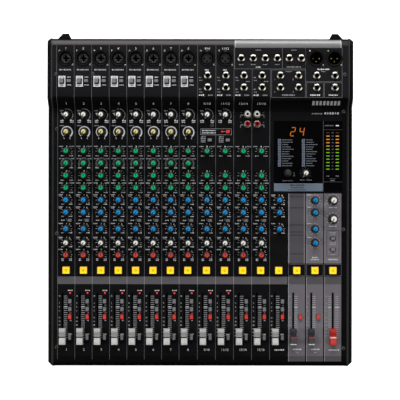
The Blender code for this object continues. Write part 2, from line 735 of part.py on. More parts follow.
def jack_board(jack_plane, finish):
    """The board under the jack panel: XLR sockets, quarter-inch jacks and the input switches."""
    near, far = JACK_BOARD_SPAN
    bm = bmesh.new()
    half = board_half_width()
    box(bm, (-half, near, JACK_BOARD_TOP - BOARD), (half, far, JACK_BOARD_TOP))
    board = object_from(bm, "jack_board", jack_plane, finish=finish)
    root = JACK_BOARD_TOP - BOARD / 2
    bodies, noses, bores, pins = (bmesh.new() for _ in range(4))
    under_panel = -STEEL - GAP
    for x, v in phone_jack_places():
        block(bodies, x, v, JACK_BODY, JACK_BODY, root, under_panel)
        prism(noses, 8, JACK_NOSE, x, v, under_panel - 0.001, JACK_NOSE_TOP)
        prism(bores, 8, JACK_BORE / cos(pi / 8), x, v, JACK_BORE_FLOOR, JACK_NOSE_TOP + 0.001)
    for kind, x in xlr_places():
        prism(bodies, XLR_SIDES, XLR_SHELL, x, XLR_ROW, root, XLR_RIM_TOP)
        floor = XLR_PIN_FLOOR if kind == "male" else XLR_FACE
        prism(bores, XLR_SIDES, XLR_MOUTH, x, XLR_ROW, floor, XLR_RIM_TOP + 0.001)
        contacts = [
            (x + XLR_PIN_CIRCLE * cos(a), XLR_ROW + XLR_PIN_CIRCLE * sin(a))
            for a in (0, pi, -pi / 2)
        ]
        if kind == "combo":
            prism(pins, 8, JACK_BORE / cos(pi / 8), x, XLR_ROW, JACK_BORE_FLOOR, XLR_FACE + 0.001)
        if kind == "female":
            for a, b in contacts:
                prism(pins, 6, XLR_PIN_RADIUS + GAP, a, b, XLR_PIN_FLOOR, XLR_FACE + 0.001)
    for strip, _, x, v, width, length in switch_places(ON_THE_JACK_PANEL):
        top = SWITCH_BODY_TOP if strip == TURNING_STRIP else SWITCH_TOP
        block(bodies, x, v, width, length, root, top)
    boolean(board, object_from(bodies, "jack_bodies", jack_plane), "UNION")
    boolean(board, object_from(noses, "jack_noses", jack_plane), "UNION")
    boolean(board, object_from(bores, "jack_bores", jack_plane), "DIFFERENCE")
    boolean(board, object_from(pins, "socket_holes", jack_plane), "DIFFERENCE")
    boolean(board, male_pins(jack_plane), "UNION")
    return board


def male_pins(jack_plane):
    """The three contact pins standing in each male XLR socket."""
    bm = bmesh.new()
    for kind, x in xlr_places():
        if kind == "male":
            for a in (0, pi, -pi / 2):
                pin_x, pin_v = x + XLR_PIN_CIRCLE * cos(a), XLR_ROW + XLR_PIN_CIRCLE * sin(a)
                prism(bm, 6, XLR_PIN_RADIUS, pin_x, pin_v, XLR_PIN_FLOOR - 0.001, XLR_FACE)
    return object_from(bm, "male_pins", jack_plane)


def display(control_plane, board_finish, window_finish):
    """The clear window in the panel, and behind it the board with the digits and the level meters."""
    left, right, near, far = WINDOW
    bm = bmesh.new()
    box(bm, (left, near, WINDOW_TOP - WINDOW_THICKNESS), (right, far, WINDOW_TOP))
    window = object_from(bm, "display_window", control_plane, finish=window_finish)
    holes = bmesh.new()
    for x, v in (PROGRAM_KNOB, PARAMETER_KNOB):
        prism(holes, 8, SHAFT_RADIUS + 0.0008, x, v, -0.004, 0.003)
    boolean(window, object_from(holes, "window_holes", control_plane), "DIFFERENCE")
    bm = bmesh.new()
    top = DISPLAY_BOARD_TOP
    inset = DISPLAY_MARGIN
    box(bm, (left + inset, near + inset, top - BOARD), (right - inset, far - inset, top))
    board = object_from(bm, "display_board", control_plane, finish=board_finish)
    lamps = bmesh.new()
    root = top - BOARD / 2
    box(lamps, (DIGITS[0], DIGITS[2], root), (DIGITS[1], DIGITS[3], LAMP_TOP))
    for x in METER_COLUMNS:
        box(lamps, (x - 0.003, METER_SPAN[0], root), (x + 0.003, METER_SPAN[1], LAMP_TOP))
    for x, v in (PROGRAM_KNOB, PARAMETER_KNOB):
        block(lamps, x, v, POT_BODY[0], POT_BODY[0], root, DISPLAY_SHAFT_FOOT - GAP)
    boolean(board, object_from(lamps, "display_lamps", control_plane), "UNION")


def power_supply(finish):
    """Mains supply on its own board in the pan: transformer, heat sink and reservoir capacitors."""
    left, right, near, far = SUPPLY_BOARD
    bm = bmesh.new()
    box(bm, (left, near, SUPPLY_FLOOR), (right, far, SUPPLY_FLOOR + BOARD))
    board = object_from(bm, "power_supply", finish=finish)
    parts = bmesh.new()
    root = SUPPLY_FLOOR + BOARD / 2
    width, length, height = TRANSFORMER
    block(parts, left + 0.035, near + 0.040, width, length, root, root + height)
    width, length, height = HEAT_SINK
    block(parts, right - 0.042, far - 0.012, width, length, root, root + height)
    radius, height = RESERVOIR
    for n in range(2):
        prism(parts, 12, radius, right - 0.020 - n * 0.028, near + 0.030, root, root + height)
    boolean(board, object_from(parts, "supply_parts"), "UNION")
    inset = SUPPLY_POST_INSET
    corners = [(x, y) for x in (left + inset, right - inset) for y in (near + inset, far - inset)]
    for n, (x, y) in enumerate(corners):
        post = bmesh.new()
        prism(post, 6, SUPPLY_POST_RADIUS, x, y, FOOT_HEIGHT + STEEL + GAP, root)
        boolean(board, object_from(post, f"supply_post_{n}"), "UNION")
    return board


# ---------------------------------------------------------------- rear wall fittings


def rear_fitting(name, at, body, well, finish):
    """A moulded body through the rear wall, with a brim outside and a well open to the rear."""
    _, _, rear = pan_box()
    x, z = at
    width, height, depth = body
    bm = bmesh.new()
    face = rear + GAP + FLANGE_THICKNESS
    middle = face - FLANGE_THICKNESS / 2
    box(bm, (x - width / 2, rear - depth, z - height / 2), (x + width / 2, middle, z + height / 2))
    fitting = object_from(bm, name, finish=finish)
    brim = bmesh.new()
    half_x, half_z = width / 2 + FLANGE_BRIM, height / 2 + FLANGE_BRIM
    box(brim, (x - half_x, rear + GAP, z - half_z), (x + half_x, face, z + half_z))
    boolean(fitting, object_from(brim, f"{name}_brim"), "UNION")
    hollow = bmesh.new()
    half_x, half_z = well[0] / 2, well[1] / 2
    box(hollow, (x - half_x, face - well[2], z - half_z), (x + half_x, face + 0.001, z + half_z))
    boolean(fitting, object_from(hollow, f"{name}_well"), "DIFFERENCE")
    return fitting


def mains_inlet(finish):
    inlet = rear_fitting("mains_inlet", INLET_AT, INLET_BODY, INLET_SOCKET, finish)
    _, _, rear = pan_box()
    floor = rear + GAP + FLANGE_THICKNESS - INLET_SOCKET[2]
    blades = bmesh.new()
    for dx, dz in ((-0.007, -0.002), (0, 0.002), (0.007, -0.002)):
        x, z = INLET_AT[0] + dx, INLET_AT[1] + dz
        box(blades, (x - 0.001, floor - 0.002, z - 0.002), (x + 0.001, floor + 0.012, z + 0.002))
    boolean(inlet, object_from(blades, "inlet_blades"), "UNION")
    return inlet


def power_rocker(finish):
    """Mains rocker in its well, resting in its on position. Its origin is on its pivot."""
    _, _, rear = pan_box()
    face = rear + GAP + FLANGE_THICKNESS
    half = ROCKER_HALF
    side_view = [
        (0.0030, -half), (0.0012, 0), (0.0030, half), (-0.0035, 0.8 * half), (-0.0035, -0.8 * half),
    ]
    mesh = outline_mesh("power_rocker", side_view, SWITCH_WELL[0] - 2 * GAP - 0.0008)
    bm = bmesh.new()
    bm.from_mesh(mesh)
    upright = Matrix.Rotation(pi / 2, 4, "Z") @ Matrix.Rotation(pi / 2, 4, "X")
    bm.transform(Matrix.Rotation(-ROCKER_TILT, 4, "X") @ upright)
    bm.to_mesh(mesh)
    bm.free()
    return place(mesh, "power_rocker", None, (SWITCH_AT[0], face - 0.0022, SWITCH_AT[1]), finish)


# ---------------------------------------------------------------- moving controls


def knob_mesh(name, height, skirt, crown, shaft_foot):
    """Skirted knob with its shaft, its origin on the shaft's axis at the panel's face."""
    low = KNOB_TRAVEL_CLEARANCE
    profile = [
        (0, height), (crown, height), (crown + 0.0009, low + 0.0024), (skirt, low + 0.0018),
        (skirt, low), (SHAFT_RADIUS, low), (SHAFT_RADIUS, shaft_foot), (0, shaft_foot),
    ]
    knob = turned(name, profile, KNOB_SIDES)
    pointer = bmesh.new()
    box(pointer, (-0.0004, crown * 0.5, low + 0.0008), (0.0004, skirt + 0.0002, height + 0.0003))
    boolean(knob, object_from(pointer, f"{name}_pointer"), "UNION")
    return baked(knob)


def moving_knobs(control_plane):
    """The turning strip's knobs and the master knobs, each on its own axis."""
    small = knob_mesh("small_knob", KNOB_HEIGHT, KNOB_SKIRT, KNOB_CROWN, CONTROL_SHAFT_FOOT)
    shallow = knob_mesh("display_knob", KNOB_HEIGHT, KNOB_SKIRT, KNOB_CROWN, DISPLAY_SHAFT_FOOT)
    large = knob_mesh(
        "large_knob", LARGE_KNOB_HEIGHT, LARGE_KNOB_SKIRT, LARGE_KNOB_CROWN, CONTROL_SHAFT_FOOT
    )
    for strip, row, x, v in knob_places():
        if strip == TURNING_STRIP:
            cap = material(f"{COLOURS[row]}_cap", CAPS[COLOURS[row]])
            knob = place(small.copy(), f"knob_{strip}_{row}", control_plane, (x, v, 0), cap)
            knob.rotation_euler.z = 0 if row in CENTRE_DETENT else FULLY_DOWN
    for name, x, v, colour, is_large, foot in master_knobs():
        mesh = large if is_large else (shallow if foot == DISPLAY_SHAFT_FOOT else small)
        cap = material(f"{colour}_cap", CAPS[colour])
        knob = place(mesh.copy(), name, control_plane, (x, v, 0), cap)
        knob.rotation_euler.z = FULLY_DOWN


def fader_mesh():
    """Fader cap with a dipped top on its lever. The origin is on the slot's line at the panel."""
    width, length, height = FADER_CAP
    half, low, top = length / 2, FADER_CAP_BOTTOM, FADER_CAP_BOTTOM + height
    side_view = [
        (-half, low), (half, low), (half - 0.0012, top), (half * 0.25, top - FADER_DIP),
        (-half * 0.25, top - FADER_DIP), (-half + 0.0012, top),
    ]
    mesh = outline_mesh("fader_cap", side_view, width)
    bm = bmesh.new()
    bm.from_mesh(mesh)
    bm.transform(Matrix.Rotation(pi / 2, 4, "Z") @ Matrix.Rotation(pi / 2, 4, "X"))
    bm.to_mesh(mesh)
    bm.free()
    cap = place(mesh, "fader_cap")
    lever = bmesh.new()
    block(lever, 0, 0, *LEVER, LEVER_FOOT, low + 0.001)
    boolean(cap, object_from(lever, "fader_lever"), "UNION")
    return baked(cap)


def faders(control_plane):
    mesh = fader_mesh()
    caps = {"group_1_2": "charcoal", "group_3_4": "charcoal", "stereo": "red"}
    for strip in MONO_STRIPS + STEREO_STRIPS + MASTER_STRIPS:
        colour = caps.get(strip, "grey")
        at = (fader_x(strip), FADER_REST_ROW, 0)
        place(mesh.copy(), f"fader_{strip}", control_plane, at, material(f"{colour}_cap", CAPS[colour]))


def moving_switches(control_plane, jack_plane):
    """The turning strip's push switches, each a cap that travels down its own hole."""
    colours = {"to_stereo": "red", "on": "lit_yellow"}
    for strip, kind, x, v, width, length in switch_places(SWITCH_KINDS):
        if strip != TURNING_STRIP:
            continue
        bm = bmesh.new()
        block(bm, 0, 0, width, length, SWITCH_FOOT, ON_TOP if kind == "on" else SWITCH_TOP)
        colour = colours.get(kind, "charcoal")
        plane = jack_plane if kind in ON_THE_JACK_PANEL else control_plane
        finish = material(f"{colour}_cap", CAPS[colour])
        object_from(bm, f"button_{strip}_{kind.replace('jack_', '')}", plane, (x, v, 0), finish)


def build():
    steel = material("textured_black_steel", STEEL_BLACK, 0.45)
    moulded = material("black_moulding", PLASTIC_BLACK, 0.35)
    rubber = material("foot_rubber", (0.01, 0.01, 0.01, 1), 0.85)
    laminate = material("board_laminate", (0.02, 0.09, 0.04, 1), 0.5)
    metal_jacks = material("jack_metal", (0.45, 0.44, 0.42, 1), 0.35)
    smoked = material("smoked_window", (0.004, 0.004, 0.005, 1), 0.08)
    control_plane = empty("control_plane", None, (0, FRONT_FOLD_Y, FRONT_FOLD_Z), SLOPE)
    jack_plane = empty("jack_plane", control_plane, (0, RISER_TOP, RISER_HEIGHT))
    top_panel(control_plane, jack_plane, steel)
    bottom_pan(steel)
    side_cheek("left_cheek", -1, moulded)
    side_cheek("right_cheek", 1, moulded)
    feet(rubber)
    control_board(control_plane, laminate)
    fader_board(control_plane, laminate)
    jack_board(jack_plane, metal_jacks)
    display(control_plane, laminate, smoked)
    power_supply(laminate)
    mains_inlet(moulded)
    rear_fitting("power_switch_body", SWITCH_AT, SWITCH_BODY, SWITCH_WELL, moulded)
    power_rocker(moulded)
    moving_knobs(control_plane)
    faders(control_plane)
    moving_switches(control_plane, jack_plane)


pieces = bpy.data.collections.new("mixing_console")
tools = bpy.data.collections.new("cutters")
clear_scene()
build()
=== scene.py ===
"""The looks of a desktop mixing console with sixteen input channels.

Sizes are in millimetres until a mesh is finished, and in metres after that. Most of the console is
set out on its sloping panel: u runs to the right, v up the slope from the front fold, w out of it.
"""

import json
from math import cos, pi, radians, sin

import bmesh
import bpy
import numpy as np
from mathutils import Matrix, Vector

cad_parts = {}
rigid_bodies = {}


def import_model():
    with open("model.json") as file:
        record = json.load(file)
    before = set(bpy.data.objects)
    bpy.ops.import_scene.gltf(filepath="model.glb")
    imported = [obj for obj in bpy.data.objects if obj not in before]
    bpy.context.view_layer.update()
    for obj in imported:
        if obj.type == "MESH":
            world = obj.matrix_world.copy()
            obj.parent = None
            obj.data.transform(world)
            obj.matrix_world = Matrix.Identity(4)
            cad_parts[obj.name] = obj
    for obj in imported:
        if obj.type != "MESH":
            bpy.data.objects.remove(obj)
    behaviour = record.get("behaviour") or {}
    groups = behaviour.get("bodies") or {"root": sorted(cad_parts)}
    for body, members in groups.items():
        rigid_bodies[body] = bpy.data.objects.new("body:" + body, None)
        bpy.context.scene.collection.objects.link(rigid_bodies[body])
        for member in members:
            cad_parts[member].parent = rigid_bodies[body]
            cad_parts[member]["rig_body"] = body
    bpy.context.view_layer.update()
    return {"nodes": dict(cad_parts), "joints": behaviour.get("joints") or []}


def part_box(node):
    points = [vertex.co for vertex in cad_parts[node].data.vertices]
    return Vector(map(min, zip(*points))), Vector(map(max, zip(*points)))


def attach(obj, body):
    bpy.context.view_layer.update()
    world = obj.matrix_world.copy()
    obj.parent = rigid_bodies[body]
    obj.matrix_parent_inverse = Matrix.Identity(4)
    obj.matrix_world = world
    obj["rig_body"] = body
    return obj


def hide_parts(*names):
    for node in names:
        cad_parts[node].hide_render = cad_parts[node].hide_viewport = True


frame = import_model()

# ------------------------------------------------------------------------------------------------
# The view: a long lens square to the control panel, over the middle of the console. A wide soft
# window lights it from behind, so that the rear bend shines and the front nose stays dark.

joints = {joint["name"]: joint for joint in frame["joints"]}
RIGHT = np.array([1.0, 0.0, 0.0])
UP_SLOPE = np.array(joints["fader_ch1_slide"]["axis"])
OUTWARD = -np.array(joints["knob_ch1_pan_turn"]["axis"])
PAN_ROW = 155.1  # how far up the slope the pan knobs stand
FOLD = np.array(joints["knob_ch1_pan_turn"]["pos_m"]) * (0, 1, 1) - PAN_ROW / 1000 * UP_SLOPE
CAMERA_HEIGHT = 1800
CAMERA_AIM = (-0.26, 235.2)
CAMERA_ROLL = 0.076
VIEW_WIDTH = 584.9  # what the view takes in at the control panel


def on_panel(points):
    """World metres: the fold, plus u across, v up the slope and w outwards."""
    u, v, w = np.moveaxis(np.asarray(points, float) / 1000, -1, 0)[..., None]
    return FOLD + u * RIGHT + v * UP_SLOPE + w * OUTWARD


lens = bpy.data.cameras.new("camera")
lens.lens = lens.sensor_width * CAMERA_HEIGHT / VIEW_WIDTH
camera = bpy.data.objects.new("camera", lens)
bpy.context.scene.collection.objects.link(camera)
stand = Matrix(np.column_stack([RIGHT, UP_SLOPE, OUTWARD]).tolist()).to_4x4()
stand.translation = on_panel((*CAMERA_AIM, CAMERA_HEIGHT))
camera.matrix_world = stand @ Matrix.Rotation(radians(CAMERA_ROLL), 4, "Z")
bpy.context.scene.camera = camera


def window_light(name, place, aim, size, power):
    """A rectangular area light, turned to face a point."""
    data = bpy.data.lights.new(name, "AREA")
    data.shape = "RECTANGLE"
    data.size, data.size_y = size
    data.energy = power
    lamp = bpy.data.objects.new(name, data)
    lamp.location = place
    lamp.rotation_euler = (Vector(aim) - Vector(place)).to_track_quat("-Z", "Y").to_euler()
    bpy.context.scene.collection.objects.link(lamp)


window_light("rear_window", (0, 1.50, 1.25), (0, 0.1, 0.05), (2.4, 0.9), 62)
window_light("left_fill", (-1.4, -0.55, 1.35), (0, 0, 0.05), (0.9, 1.4), 20)
window_light("right_fill", (1.4, -0.55, 1.35), (0, 0, 0.05), (0.9, 1.4), 20)
studio = bpy.data.worlds.new("studio")
studio.use_nodes = True
studio.node_tree.nodes["Background"].inputs["Color"].default_value = (1, 1, 1, 1)
studio.node_tree.nodes["Background"].inputs["Strength"].default_value = 0.07
bpy.context.scene.world = studio
bpy.context.scene.view_settings.view_transform = "Standard"

# ------------------------------------------------------------------------------------------------
# The top panel is one sheet of steel, folded over at the front and rear and stepped up before the
# sockets. It is powder coated black, and the master section and the writing strips are printed grey.


class Wire:
    """A socket of a finish. Arithmetic on it adds the Math nodes."""

    def __init__(self, finish, socket):
        self.finish, self.socket = finish, socket

    def maths(self, operation, *values):
        return self.finish.node("Math", {"operation": operation}, dict(enumerate(values)))

    def __add__(self, other):
        return self.maths("ADD", self, other)

    def __sub__(self, other):
        return self.maths("SUBTRACT", self, other)

    def __rsub__(self, other):
        return self.maths("SUBTRACT", other, self)

    def __mul__(self, other):
        return self.maths("MULTIPLY", self, other)

    def __gt__(self, other):
        return self.maths("GREATER_THAN", self, other)

    def __lt__(self, other):
        return self.maths("LESS_THAN", self, other)

    __radd__ = __add__
    __rmul__ = __mul__

    def within(self, low, high):
        """One inside a range, and nothing outside it."""
        return (self > low) * (self < high)

    def wave(self, period):
        """A cosine along the value, swinging between 0 and 1."""
        return (self * (2 * pi / period)).maths("COSINE") * 0.5 + 0.5


class Finish:
    """One Principled material. Its constants go straight on to the shader's own sockets."""

    def __init__(self, name, colour, roughness, gloss=0.5, **constants):
        self.material = bpy.data.materials.new(name)
        self.material.use_nodes = True
        self.tree = self.material.node_tree
        self.shader = self.tree.nodes["Principled BSDF"]
        self.given = {}
        self.put("Base Color", (*colour, 1)).put("Roughness", roughness).put("Specular IOR Level", gloss)
        for socket, value in constants.items():
            self.put(socket.replace("_", " "), value)

    def put(self, socket, value):
        """A value or a wire on one of the shader's sockets."""
        self.given[socket] = value
        self.plug(self.shader.inputs[socket], value)
        return self

    def plug(self, socket, value):
        """A value or a wire on a socket of any node."""
        if isinstance(value, Wire):
            self.tree.links.new(value.socket, socket)
        else:
            socket.default_value = value

    def node(self, kind, settings=None, inputs=None, output=0):
        """Any other node: its type, its settings, what its sockets get and which output is used."""
        made = self.tree.nodes.new("ShaderNode" + kind)
        for setting, value in (settings or {}).items():
            setattr(made, setting, value)
        for socket, value in (inputs or {}).items():
            self.plug(made.inputs[socket], value)
        return Wire(self, made.outputs[output])

    def spot(self):
        """Where a point lies on its own object, in metres."""
        return self.node("TexCoord", output="Object")

    def noise(self, size_mm, detail=2.0, stretch=(1, 1, 1)):
        """Smooth noise between 0 and 1 whose lumps are about this big, and longer along a stretch."""
        scale = tuple(1000 / size_mm / s for s in stretch)
        lumps = self.node("Mapping", None, {"Vector": self.spot(), "Scale": scale})
        return self.node("TexNoise", None, {"Vector": lumps, "Scale": 1.0, "Detail": detail})

    def along(self, direction, start=(0, 0, 0)):
        """How far a point lies along a direction from a start, in millimetres."""
        ends = {0: self.spot(), 1: tuple(start)}
        path = self.node("VectorMath", {"operation": "SUBTRACT"}, ends)
        sides = {0: path, 1: tuple(direction)}
        return self.node("VectorMath", {"operation": "DOT_PRODUCT"}, sides, "Value") * 1000

    def blend(self, factor, *colours):
        """The first colour turning into the second as the factor goes from 0 to 1."""
        first, second = [(*colour, 1) if isinstance(colour, tuple) else colour for colour in colours]
        return self.node("Mix", {"data_type": "RGBA"}, {0: factor, 6: first, 7: second}, 2)

    def shades(self, factor, colour, first, second):
        """A colour whose brightness goes from one share of it to another."""
        return self.blend(factor, *[tuple(share * c for c in colour) for share in (first, second)])

    def grain(self, height, strength, depth_mm):
        """A bump from a height between 0 and 1."""
        sizes = {"Height": height, "Strength": strength, "Distance": depth_mm / 1000}
        return self.put("Normal", self.node("Bump", None, sizes))


def close_seams(mesh):
    """Points on one spot become one, and faces that this leaves with no area go."""
    bm = bmesh.new()
    bm.from_mesh(mesh)
    bmesh.ops.remove_doubles(bm, verts=bm.verts, dist=1e-6)
    bmesh.ops.dissolve_degenerate(bm, edges=bm.edges, dist=1e-7)
    bm.to_mesh(mesh)
    bm.free()


def piece(name, mesh, body, finishes, crease, stands_for=()):
    """A mesh as a piece of the console: smooth but for its creases, finished, riding on a body."""
    close_seams(mesh)
    mesh.shade_smooth()
    mesh.set_sharp_from_angle(angle=radians(crease))
    for finish in finishes:
        mesh.materials.append(finish.material)
    made = bpy.data.objects.new(name, mesh)
    bpy.context.scene.collection.objects.link(made)
    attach(made, body)
    if stands_for:
        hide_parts(*stands_for)
    return made


def refinished(node, name, finish, crease=30):
    """A piece with a CAD node's own shape, smoothed over its bends."""
    mesh = frame["nodes"][node].data.copy()
    mesh.name = name
    mesh.materials.clear()
    return piece(name, mesh, frame["nodes"][node]["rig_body"], [finish], crease, [node])


FADER_OFFSET = -5.1  # from the middle of a strip to its fader
STRIPS = {
    node[len("fader_"):]: 500 * (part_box(node)[0].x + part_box(node)[1].x)
    - (0 if node == "fader_stereo" else FADER_OFFSET)
    for node in frame["nodes"]
    if node.startswith("fader_") and node != "fader_board"
}
MONO = [f"ch{n}" for n in range(1, 9)]
STEREO = ["ch9_10", "ch11_12", "ch13_14", "ch15_16"]
MASTERS = ["group_1_2", "group_3_4", "stereo"]
CHANNELS = MONO + STEREO + ["fx_return"]
HALF_STRIP = {strip: 12.7 if strip in MONO else 13.2 for strip in STRIPS}
JACK_PLANE = 14.0  # how far the socket panel stands above the control panel
RISER = (370.0, 382.5)
BEND_START = 460.0
WRITING_STRIP = (112.1, 123.2)
MASTER_UPPER = (142.6, 244.8)
MASTER_LOWER = (-0.6, 123.4)
SILVER_BAND = (50.2, 204.5, 456.6)  # its left and right ends, and where it starts up the slope

coat = Finish("powder_coat", (0.004, 0.004, 0.0045), 0.5, gloss=0.04)
across, up, out = coat.along(RIGHT), coat.along(UP_SLOPE, FOLD), coat.along(OUTWARD, FOLD)
flat = out.within(-0.5, 0.9)
columns = sum(across.within(STRIPS[s] - 12.0, STRIPS[s] + 12.3) for s in MASTERS)
strips = across.within(-208.3, 127.6) * up.within(*WRITING_STRIP)
listing = across.within(STRIPS["group_1_2"] - 10.6, STRIPS["group_1_2"] + 10.2) * up.within(*MASTER_UPPER)
lines = sum(up.within(v - 0.9, v + 0.9) for v in (240.6, 224.0, 198.9, 188.6, 184.0, 156.6))
bands = up.wave(13.5) * 0.5 + up.wave(4.3) * 0.5
ends = up.within(*WRITING_STRIP) + up.within(-5, 7.2)
grey = columns * (up.within(*MASTER_UPPER) + up.within(*MASTER_LOWER)) * flat
rear_bend = (up > SILVER_BAND[2]) * (out > 1.0)
silver = across.within(*SILVER_BAND[:2]) * rear_bend
# A painted highlight on the rear bend, lighter as the bend turns up from the slope
bend_highlight = (up - 459.4) * 0.42 * rear_bend
edges = (across.within(50.0, 50.9) + across.within(203.7, 204.6)) * rear_bend
fine, slow, speck = coat.noise(0.45, 1.0), coat.noise(55, 2.0), coat.noise(0.9, 0.0)
paint_and_painted_light = coat.blend(slow, (0.0018, 0.0018, 0.0021), (0.0028, 0.0028, 0.0032))
for share, tone in (
    ((out > 13.0) * (0.6 + slow * 0.4), (0.0080, 0.0080, 0.0088)),
    (speck * 0.3, (0.007, 0.007, 0.008)),
    # Painted shade: the riser and the front edge, which face away from the light, made darker
    (up.within(364, 385) + (up < 7), (0.0012, 0.0012, 0.0013)),
    ((across > 206.6) * (out < 13) * 0.7, (0.0006, 0.0006, 0.0007)),
    # Painted highlight: a lighter line along the panel's side edges, by the cheeks
    ((across > 214.1) + (across < -214.1), (0.018, 0.018, 0.019)),
    (strips * flat, (0.070, 0.067, 0.073)),
    (grey, (0.114, 0.105, 0.117)),
    (grey * listing * (0.60 + bands * 0.30), (0.044, 0.042, 0.047)),
    (grey * listing * lines * 0.9, (0.030, 0.028, 0.031)),
    (grey * ends, (0.060, 0.056, 0.061)),
    (columns * flat * up.within(*MASTER_LOWER) * 0.25, (0.060, 0.056, 0.061)),
    # The rear bend's painted highlight, weaker to the right of the silver band
    (bend_highlight, (0.074, 0.069, 0.067)),
    (bend_highlight * (across > SILVER_BAND[1]), (0.026, 0.025, 0.024)),
    # The silver band is real grey paint; its brightening up the bend is a painted highlight
    (silver, coat.blend((up - SILVER_BAND[2]) * 0.11, (0.112, 0.107, 0.114), (0.235, 0.230, 0.230))),
    (edges, (0.42, 0.42, 0.42)),
    # Painted shade: the crest of the rear bend made darker
    ((up - (466.0 + silver * 0.8)) * 0.55 * rear_bend, (0.002, 0.002, 0.002)),
):
    paint_and_painted_light = coat.blend(share, paint_and_painted_light, tone)
coat.put("Base Color", paint_and_painted_light).put("Metallic", silver * 0.55)
coat.put("Roughness", 0.44 + fine * 0.16 + slow * 0.05)
coat.grain(fine, 0.35, 0.05)
refinished("top_panel", "panel_skin", coat)

# ------------------------------------------------------------------------------------------------
# The floor under the console is plain white studio board. It is not part of the console.


class Shell:
    """Grids of points gathered into one piece. A face stands between neighbouring rows and columns,
    and its outer side is the one that rows crossed with columns point to."""

    def __init__(self):
        self.points, self.faces, self.coats, self.total = [], [], [], 0

    def add(self, points, coat=0, wrap=False):
        """One grid (rows, columns, 3) or a stack of them. Where it wraps, its last column joins its
        first one."""
        points = np.asarray(points, float)
        index = np.arange(points[..., 0].size).reshape(points.shape[:-1])
        if wrap:
            index = np.concatenate([index, index[..., :1]], axis=-1)
        corners = index[..., :-1, :-1], index[..., 1:, :-1], index[..., 1:, 1:], index[..., :-1, 1:]
        self.join(points.reshape(-1, 3), np.stack(corners, axis=-1).reshape(-1, 4), coat)
        return self

    def join(self, points, faces, coat=0):
        """Points, and faces that count from the first of them."""
        self.points.append(np.asarray(points, float))
        self.faces += (np.asarray(faces) + self.total).tolist()
        self.coats.append(np.full(len(faces), coat))
        self.total += len(points)

    def make(self, name, body, finishes, slot=None, stands_for=(), crease=32, place=on_panel):
        """All the grids as one piece, set in place in the world."""
        mesh = bpy.data.meshes.new(name)
        mesh.from_pydata(place(np.concatenate(self.points)), [], self.faces)
        mesh.polygons.foreach_set("material_index", np.concatenate(self.coats).astype(np.int32))
        return piece(name, mesh, body, finishes, crease, stands_for)


def upright(points):
    """World metres from world millimetres."""
    return np.asarray(points, float) / 1000


board = Finish("studio_board", (0.55, 0.55, 0.55), 0.9, gloss=0.1)
board.put("Emission Color", (1, 1, 1, 1)).put("Emission Strength", 0.80)
floor = Shell().add([[[-4000, -4000, 0], [-4000, 4000, 0]], [[4000, -4000, 0], [4000, 4000, 0]]])
floor = floor.make("studio_floor", "console", [board], place=upright)
floor.visible_glossy = floor.visible_diffuse = False  # nothing shines back on the dark case from below

# ------------------------------------------------------------------------------------------------
# The panel's print is silk-screened in light grey and mid grey ink: lines between the strips, frames
# round groups of sockets, scales round the knobs and beside the faders, and rows of small marks.

INK = 0.06  # how far a printed mark stands off the steel here
OVER_INK = 0.08  # and one that is printed over another
LIGHT, GREY, FAINT, DARK, LINE = range(5)
print_shell = Shell()


def surface(v):
    """How far the panel stands out at a distance up the slope: at the foot, up the riser, at the top."""
    return np.interp(v, RISER, (0, JACK_PLANE))


def bars(u, v, width, length, ink=LIGHT, turn=0.0, lift=INK):
    """Flat marks centred on (u, v), their length up the slope, each turned clockwise in degrees."""
    u, v, width, length, turn = np.broadcast_arrays(u, v, width, length, np.radians(turn))
    row = np.array([-0.5, -0.5, 0.5, 0.5]).reshape(2, 2)
    column = np.array([-0.5, 0.5, -0.5, 0.5]).reshape(2, 2)
    x = width[..., None, None] * row
    y = length[..., None, None] * column
    c, s = np.cos(turn)[..., None, None], np.sin(turn)[..., None, None]
    place = u[..., None, None] + x * c + y * s, v[..., None, None] - x * s + y * c
    height = np.broadcast_to((surface(v) + lift)[..., None, None], place[0].shape)
    print_shell.add(np.stack([*place, height], axis=-1), ink)


def outline(left, right, bottom, top, line, ink=LINE):
    """A frame drawn with four lines."""
    u, v = (left + right) / 2, (bottom + top) / 2
    bars([u, u], [bottom, top], right - left + line, line, ink)
    bars([left, right], [v, v], line, top - bottom - line, ink)


def arc(u, v, inner, outer, first, last, ink=LIGHT, lift=INK, taper=0.0):
    """A ring's arc about (u, v), between two angles clockwise from straight up. A taper thins its
    beginning from outside."""
    angle = np.radians(np.linspace(first, last, int(abs(last - first) / 12) + 2))[:, None]
    radius = np.array([[inner, outer]]) - np.array([[0, taper]]) * np.linspace(1, 0, len(angle))[:, None]
    points = u + radius * np.sin(angle), v + radius * np.cos(angle)
    grid = np.stack([*points, np.full(points[0].shape, surface(v) + lift)], axis=-1)
    print_shell.add(grid[::-1], ink)


def legend(u, v, width, height, ink=LIGHT, seed=0, lift=INK):
    """A row of small blocks and gaps in the place of a word: their widths follow a sine."""
    step = height * 1.1
    count = max(2, int(round(width / step)))
    k = np.arange(count)
    middle = u + (k - (count - 1) / 2) * width / count
    wide = width / count * (0.62 + 0.16 * np.sin(2.3 * k + seed))
    tall = height * (0.86 + 0.14 * np.sin(1.7 * k + 2.0 * seed))
    bars(middle, v, wide, tall, ink, 0, lift)


figures = {}


